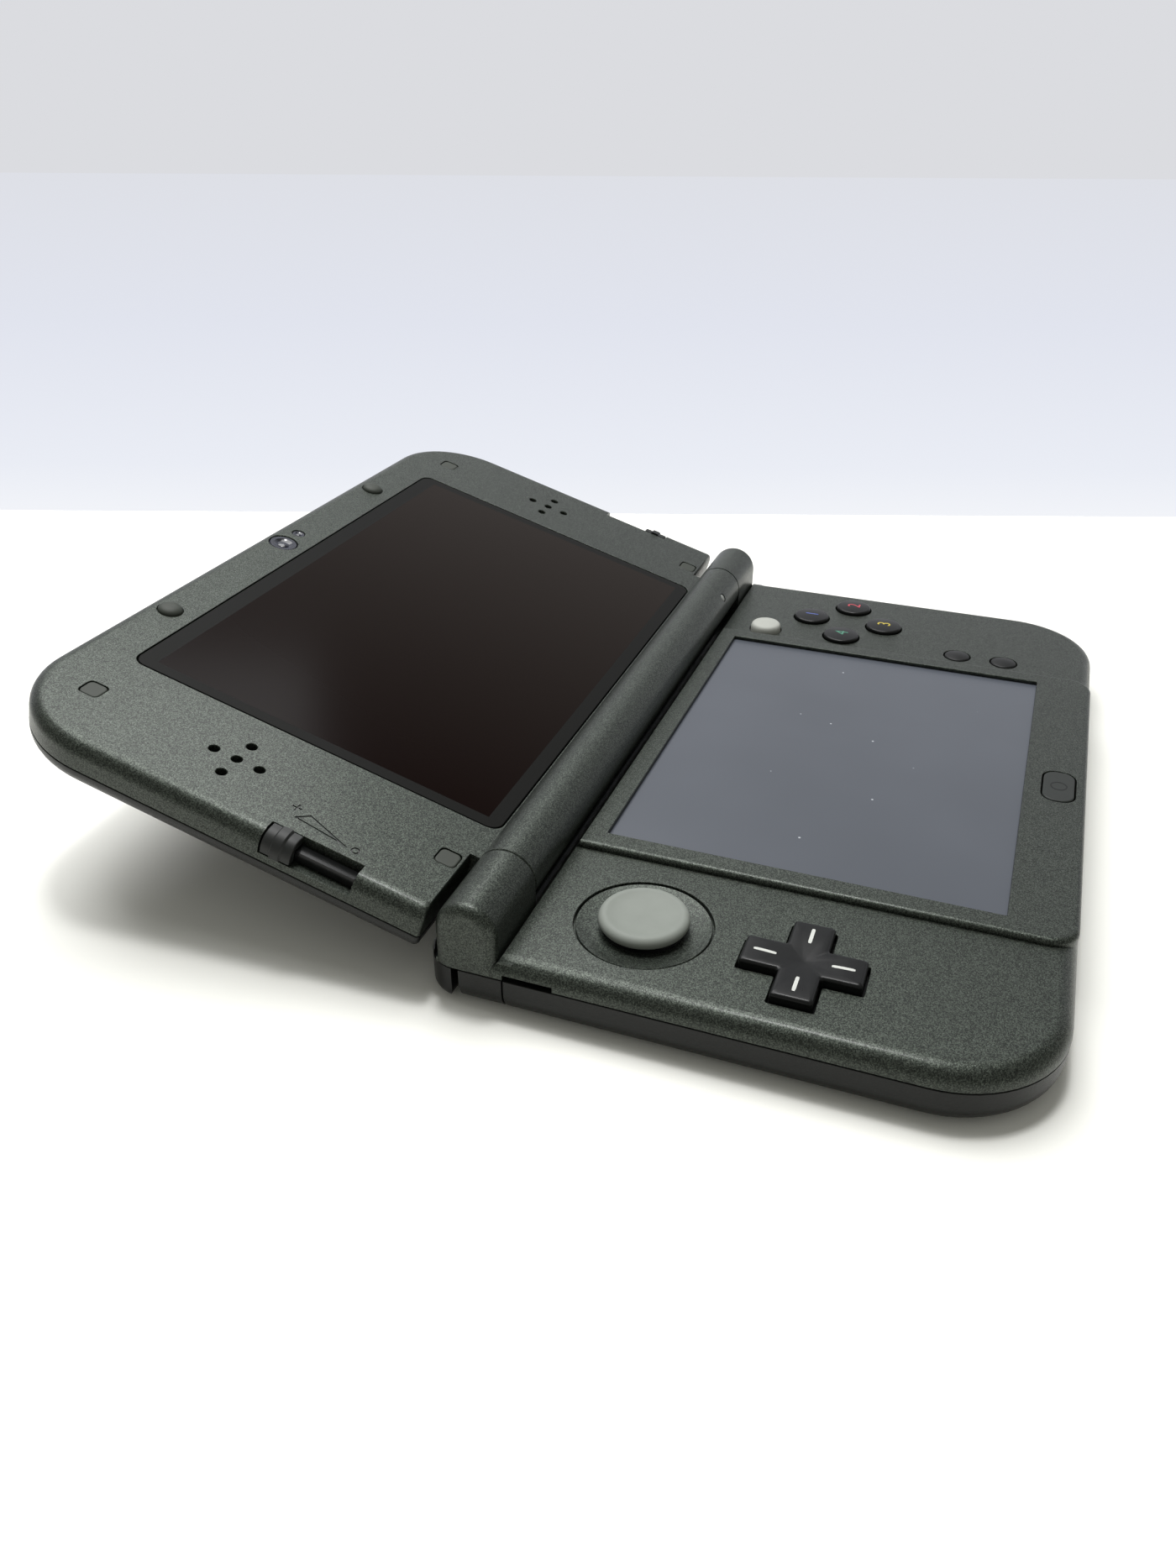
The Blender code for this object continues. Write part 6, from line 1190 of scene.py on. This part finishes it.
def stroke(points, width, low, high):
    """Flat closed band along a closed line of points: each corner moved out and in by half the width."""
    points = np.asarray(points, float)
    ahead = np.roll(points, -1, 0) - points
    ahead /= np.hypot(*ahead.T)[:, None]
    behind = np.roll(ahead, 1, 0)
    normal = np.stack([-(ahead + behind)[:, 1], (ahead + behind)[:, 0]], -1)
    normal /= (normal * np.stack([-ahead[:, 1], ahead[:, 0]], -1)).sum(1)[:, None]
    outer, inner = points + normal * width / 2, points - normal * width / 2
    count = len(points)
    rows = ((outer, low), (outer, high), (inner, high), (inner, low))
    verts = np.concatenate([np.column_stack([ring, np.full(count, level)]) for ring, level in rows])
    i = np.arange(count)
    j = (i + 1) % count
    pairs = ((0, count), (count, 2 * count), (2 * count, 3 * count), (3 * count, 0))
    quads = [np.stack([i + a, j + a, j + b, i + b], -1) for a, b in pairs]
    return verts, np.concatenate(quads).tolist()


def volume_marks(width, low, high):
    """Wedge, ring and plus sign beside the volume slider, as closed flat bands between two levels."""
    sign = cross_outline(MORE_PLACE, 1.7 * MM, width, 0.02 * MM, 1)
    ring = ring_points(LEAST_PLACE, 0.6 * MM, 24)
    bands = [stroke(line, width, low, high) for line in (WEDGE, ring)]
    return bands + [skin(rise(np.stack([sign, sign]), [low, high]))]


carve(lid_bezel, gather(*volume_marks(MARK_WIDTH, LID_FACE - MARK_DEPTH, LID_FACE + 0.5 * MM)))
finish_piece(lay_on_lid(lid_bezel), "lid", "lid_bezel", slot="shell")

# Outer half of the lid: a shallow tub of the same painted ABS, given the darker copy of the paint as painted
# shade, rounded all round, with two camera holes. It is the underside here, and the top of the closed console.
OUTER_ROUND = 3.0 * MM
COVER_SKIN = 1.3 * MM
OUTER_CAMERA_X = 17.5 * MM
OUTER_CAMERA_Y = 75.0 * MM
OUTER_CAMERA_RADIUS = 2.3 * MM

inset, lift = quarter(OUTER_ROUND)
inner_inset, inner_lift = quarter(OUTER_ROUND - COVER_SKIN, 4)
tub_floor = LID_OUTSIDE + COVER_SKIN
tub_rings = np.concatenate([
    rise(lid_plan(inset, inset / 2), LID_OUTSIDE + lift),
    rise(lid_plan([0, EDGE_BREAK / 2, WALL], [0, 0, WALL]), [LID_RIM - EDGE_BREAK / 2, LID_RIM, LID_RIM]),
    rise(lid_plan(WALL + inner_inset[::-1], WALL + inner_inset[::-1] / 2), tub_floor + inner_lift[::-1]),
])
lid_cover = surface_object("lid_outer_shell", skin(tub_rings), shaded_body_paint)
camera_hole = OUTER_CAMERA_RADIUS + 0.12 * MM
hole_rows = np.array([
    [0.3 * MM, -OVERRUN], [0.3 * MM, 0], [0.1 * MM, 0.1 * MM], [0, 0.3 * MM], [0, COVER_SKIN + 1 * MM],
]) + (camera_hole, LID_OUTSIDE)
camera_places = [(side * OUTER_CAMERA_X, OUTER_CAMERA_Y) for side in (-1, 1)]
carve(lid_cover, gather(*[turned(place, hole_rows) for place in camera_places]))
finish_piece(lay_on_lid(lid_cover), "lid", "lid_cover", slot="rear_shell")

# Upper screen lens: a flush sheet of hard-coated acrylic. Its border is printed satin dark grey on the back,
# and the display looks like warm black glass through the clear middle, with a painted sheen that lightens it
# towards the right.
LCD_HALF_WIDTH = 53.2 * MM
LCD_Y = (8.25 * MM, 72.5 * MM)
LENS_TOP = LID_FACE - 0.02 * MM
SEAM_SHOWN = 0.12 * MM


def lid_coordinates(tree):
    """Object coordinates turned back to the lid's own frame: origin on the hinge, Y up the lid, Z out of it."""
    return add(
        tree, "ShaderNodeMapping", {"vector_type": "TEXTURE"}, Vector=spot(tree),
        Location=(0, HINGE_Y, HINGE_Z), Rotation=(math.radians(LID_TILT_DEG), 0, 0),
    ).outputs["Vector"]


def screen_lens(name):
    """Glossy sheet: inside the display's rectangle (|x| and |y - middle| under their half sizes) warm black,
    lightened towards +X by a painted sheen; outside it, the satin border."""
    material, tree, shader = new_material(name)
    axes = add(tree, "ShaderNodeSeparateXYZ", Vector=lid_coordinates(tree)).outputs
    off_x = reckon(tree, "ABSOLUTE", axes["X"])
    off_y = reckon(tree, "ABSOLUTE", reckon(tree, "SUBTRACT", axes["Y"], sum(LCD_Y) / 2))
    past_x = reckon(tree, "GREATER_THAN", off_x, LCD_HALF_WIDTH)
    past_y = reckon(tree, "GREATER_THAN", off_y, (LCD_Y[1] - LCD_Y[0]) / 2)
    border = reckon(tree, "MAXIMUM", past_x, past_y)
    # Painted sheen: the display's colour lightens from left to right and stands in for a reflection.
    painted_sheen_share = ramp(tree, axes["X"], 0.0, 1.0, From_Min=-LCD_HALF_WIDTH, From_Max=LCD_HALF_WIDTH)
    screen = blend(tree, painted_sheen_share, srgb("#0c0301"), srgb("#241f1c"))
    give(
        shader, Base_Color=blend(tree, border, screen, srgb("#1b1b1a")),
        Roughness=ramp(tree, border, 0.16, 0.34), Specular_IOR_Level=0.03,
    )
    return material


lens_glass = screen_lens("hard_coated_acrylic_lens")
lens_in, lens_drop = quarter(0.15 * MM, 4)
lens_in, lens_drop = np.append(0, lens_in[::-1]), np.append(0.65 * MM, lens_drop[::-1])
edge_in = SEAM_SHOWN + lens_in
lens_x = LENS_HALF_WIDTH - edge_in
lens_sides = (-lens_x, lens_x, LENS_Y[0] + edge_in, LENS_Y[1] - edge_in)
lens_plan = outline(*lens_sides, (LENS_CORNER - lens_in,) * 4, 8)
lens_form = skin(rise(lens_plan, LENS_TOP - lens_drop))
dress_lid("screen_lens", lens_form, lens_glass, "upper_screen_lens", "upper_lens")

# Cameras and infrared sensor: black rings round small dished glasses, the inner pair at the lid's top edge
# and two behind its outside.


def lens_glaze(name, colour):
    """Coated camera glass: near black, with a painted reflection of its coating that turns it bluish towards
    the edge of sight, a little rough.
    """
    material, tree, shader = new_material(name)
    facing = add(tree, "ShaderNodeLayerWeight", Blend=0.35).outputs["Facing"]
    # Painted reflection: a bluish colour where the glass is seen at a glancing angle.
    painted_glancing_reflection = blend(tree, facing, srgb("#08090b"), srgb(colour))
    give(shader, Base_Color=painted_glancing_reflection, Roughness=0.2, Coat_Weight=0.2)
    return material


def camera_rows(radius, back, front, out=1):
    """Rows of radius and height: a flat ring, a cone down to the glass, and the domed glass itself."""
    ring = np.array([[1.0, 0.1], [0.96, 0], [0.7, 0], [0.5, 0.22], [0.42, 0.24]])
    ring *= (radius, -out * radius * 0.55)
    turn = np.linspace(0, 0.92, 6) * math.pi / 2
    glass = np.stack([0.42 * radius * np.cos(turn), -out * radius * (0.13 - 0.1 * np.sin(turn))], -1)
    rows = np.concatenate([ring, glass]) + (0, front)
    return np.concatenate([[[radius, back]], rows])


camera_glaze = lens_glaze("coated_camera_glass", "#20263c")
inner_back, inner_front = -2.8 * MM, LID_FACE - 0.2 * MM
form = turned((0, TOP_ROW), camera_rows(CAMERA_RADIUS, inner_back, inner_front), 56)
dress_lid("inner_camera_glass", form, camera_glaze, "inner_camera", "camera_lens")
form = turned((INFRARED_X, TOP_ROW), camera_rows(INFRARED_RADIUS, inner_back, inner_front), 36)
dress_lid("infrared_window", form, camera_glaze, "infrared_lens", "camera_lens")
for side, label in ((-1, "left"), (1, "right")):
    rows = camera_rows(OUTER_CAMERA_RADIUS, LID_OUTSIDE + 2.6 * MM, LID_OUTSIDE + 0.2 * MM, -1)
    form = turned((side * OUTER_CAMERA_X, OUTER_CAMERA_Y), rows)
    dress_lid("outer_camera_glass_" + label, form, camera_glaze, "outer_camera_" + label, "camera_lens")

# Bumpers and screw covers: soft dark plugs pressed into the lid, two domed ones by the top edge and four
# square ones over the case screws. A clear rod carries the light in the barrel.
BUMPER_RISE = 1.0 * MM

soft_grey = elastomer("dark_grey_elastomer", "#343832", 0.6)
lamp_clear, lamp_tree, lamp_shader = new_material("clear_light_guide")
cloudy = ramp(lamp_tree, noise(lamp_tree, 0.5 * MM), 0.2, 0.35)
give(lamp_shader, Base_Color=srgb("#8d918d"), Roughness=cloudy)
for side, label in ((-1, "left"), (1, "right")):
    turn = np.linspace(0, math.pi / 2, 9)[:-1]
    dome = np.stack([BUMPER_RADIUS * np.cos(turn) ** 0.7, LID_FACE + BUMPER_RISE * np.sin(turn)], -1)
    foot, tip = [BUMPER_RADIUS, LID_FACE - 0.3 * MM], [0.1 * MM, LID_FACE + BUMPER_RISE]
    rows = np.concatenate([[foot], dome, [tip]])
    form = turned((side * BUMPER_X, TOP_ROW), rows, 40)
    dress_lid("bumper_dome_" + label, form, soft_grey, "bumper_" + label, "bumper", 60)
    for row, y in PLUG_Y.items():
        in_, down = quarter(0.3 * MM, 4)
        half = PLUG_SIZE / 2 - np.append(0, in_[::-1])
        plan = outline(side * PLUG_X - half, side * PLUG_X + half, y - half, y + half, (half * 0.5,) * 4, 6)
        form = skin(rise(plan, LID_FACE - np.append(0.6 * MM, 0.05 * MM + down[::-1])))
        dress_lid(f"plug_{row}_{label}", form, soft_grey, f"screw_cover_{row}_{label}", "bumper", 50)
light_rows = [
    [LIGHT_RADIUS, 3.9 * MM], [LIGHT_RADIUS, 4.75 * MM], [0.8 * LIGHT_RADIUS, 4.92 * MM],
    [0.1 * MM, 5.0 * MM],
]
form = peg(LIGHT_X, LIGHT_ANGLE_DEG, light_rows)
dress_lid("light_guide", form, lamp_clear, "indicator_light", "indicator", 60)

# Sliders: a rubbery dark cap wraps each side edge of the lid and runs over a glossy track, the volume on the
# left and the depth on the right.
# A plain wedge, ring and plus are engraved beside the left one, with a dark fill laid in the grooves as painted
# shade.
KNOB_LENGTH = 5.2 * MM
KNOB_SKIN = 1.3 * MM
KNOB_RIB = 0.35 * MM
KNOB_RIB_LENGTH = 1.4 * MM
KNOB_GAP = 0.2 * MM
ENGRAVED = (LID_FACE - 0.22 * MM, LID_FACE - 0.16 * MM)


def knob_section(side, growth, steps=12):
    """Sections of a knob across the lid's edge: the edge's round, then the inner corner over the track."""
    growth = np.asarray(growth, float)[:, None]
    radius = LID_ROUND + growth
    turn = np.linspace(math.pi / 2, 0, steps + 1)
    inner, under_x, under_z = SLOT_INNER + KNOB_GAP, HALF_WIDTH - KNOB_SKIN, LID_FACE - KNOB_SKIN
    none = 0 * growth
    low = SLOT_FLOOR + PART_GAP + none
    round_x = HALF_WIDTH - LID_ROUND + radius * np.cos(turn)
    round_z = LID_FACE - LID_ROUND + radius * np.sin(turn)
    x = [inner + none, round_x, HALF_WIDTH + growth, under_x + none, under_x + none, inner + none]
    z = [LID_FACE + growth, round_z, low, low, under_z + none, under_z + none]
    return np.stack([side * np.concatenate(x, -1), np.concatenate(z, -1)], -1)


track_gloss = gloss_plastic("glossy_track_abs", "#141515", 0.2)
knob_rubber = elastomer("slider_elastomer", "#1c1e1d", 0.5)
starts = (SLOT_Y[1] - PART_GAP - KNOB_LENGTH, SLOT_Y[0] + PART_GAP)
for side, name, start in zip((-1, 1), ("volume", "depth"), starts):
    middle = start + KNOB_LENGTH / 2
    turn = np.linspace(0, math.pi / 2, 4)
    end_y = 0.2 * MM * (1 - np.sin(turn))[::-1]
    end_g = -0.2 * MM * (1 - np.cos(turn))[::-1]
    ease = np.linspace(0, 1, 5)
    lift = KNOB_RIB * (0.5 - 0.5 * np.cos(math.pi * ease))
    half_rib = KNOB_RIB_LENGTH / 2
    rib_start = middle - half_rib - KNOB_RIB * (1 - ease)
    rib_end = middle + half_rib + KNOB_RIB * ease
    places = np.concatenate([start + end_y, rib_start, rib_end, start + KNOB_LENGTH - end_y[::-1]])
    form = along_y(knob_section(side, np.concatenate([end_g, lift, lift[::-1], end_g[::-1]])), places)
    node = name + "_slider"
    dress_lid(name + "_knob", form, knob_rubber, node, "black_matte", body=node)
    track_x = sorted((side * (SLOT_INNER + PART_GAP), side * (HALF_WIDTH - KNOB_SKIN - PART_GAP)))
    track_y = (SLOT_Y[0] + PART_GAP, SLOT_Y[1] - PART_GAP)
    track_z = (SLOT_FLOOR + PART_GAP, LID_FACE - KNOB_SKIN - PART_GAP)
    form = block(*track_x, *track_y, *track_z, 0.2 * MM, 3)
    dress_lid(name + "_track_bar", form, track_gloss, name + "_track", "black_gloss")

# Painted shade: a dark fill at the floor of each groove stands in for the shade inside it.
groove_shade_fill = print_and_groove_shade_ink("painted_groove_shade", "#151716")
for name, form in zip(("volume_wedge", "least_ring", "more_sign"), volume_marks(MARK_WIDTH * 0.9, *ENGRAVED)):
    mark = surface_object(name, form, groove_shade_fill)
    mark.data.shade_flat()
    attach(lay_on_lid(mark), "lid")

# Inside and metal parts that the CAD already shows: they keep the CAD's own shapes and get real materials.


def woven_board(name):
    """Fibreglass board: dark green solder mask, with lighter traces where a brick pattern has joints."""
    material, tree, shader = new_material(name)
    bricks = add(
        tree, "ShaderNodeTexBrick", Vector=spot(tree), Scale=1 / (4 * MM), Color1=srgb("#1d4a33"),
        Color2=srgb("#1a4330"), Mortar=srgb("#3a7a55"), Mortar_Size=0.03,
    )
    give(shader, Base_Color=bricks.outputs["Color"], Roughness=0.4)
    return material


brushed = plain_metal("stamped_stainless_steel", "#b6b8b9", 0.35, 0.25 * MM)
board_green = woven_board("fibreglass_board")
cell_wrap = elastomer("battery_film", "#7d8285", 0.5, 0.6 * MM)
inner_black = gloss_plastic("inner_black_abs", "#1b1c1c", 0.5)
speaker_mesh = elastomer("speaker_cloth", "#121313", 0.9, 0.2 * MM)
display_back = gloss_plastic("display_glass", "#14161a", 0.25)
carried = {
    steel: (
        "hinge_pin_left", "hinge_pin_right", "hinge_cartridge_left", "hinge_cartridge_right",
        "direction_pad_pivot",
    ),
    brushed: ("game_card_slot", "charge_port"),
    board_green: ("main_board",),
    cell_wrap: ("battery_pack",),
    inner_black: ("slide_pad_box", "slide_pad_carriage"),
    speaker_mesh: ("speaker_left", "speaker_right"),
    display_back: ("lower_display", "upper_display"),
    dark_rubber: ("button_dome_sheet",),
}
for material, names in carried.items():
    for name in names:
        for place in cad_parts[name].material_slots:
            place.material = material
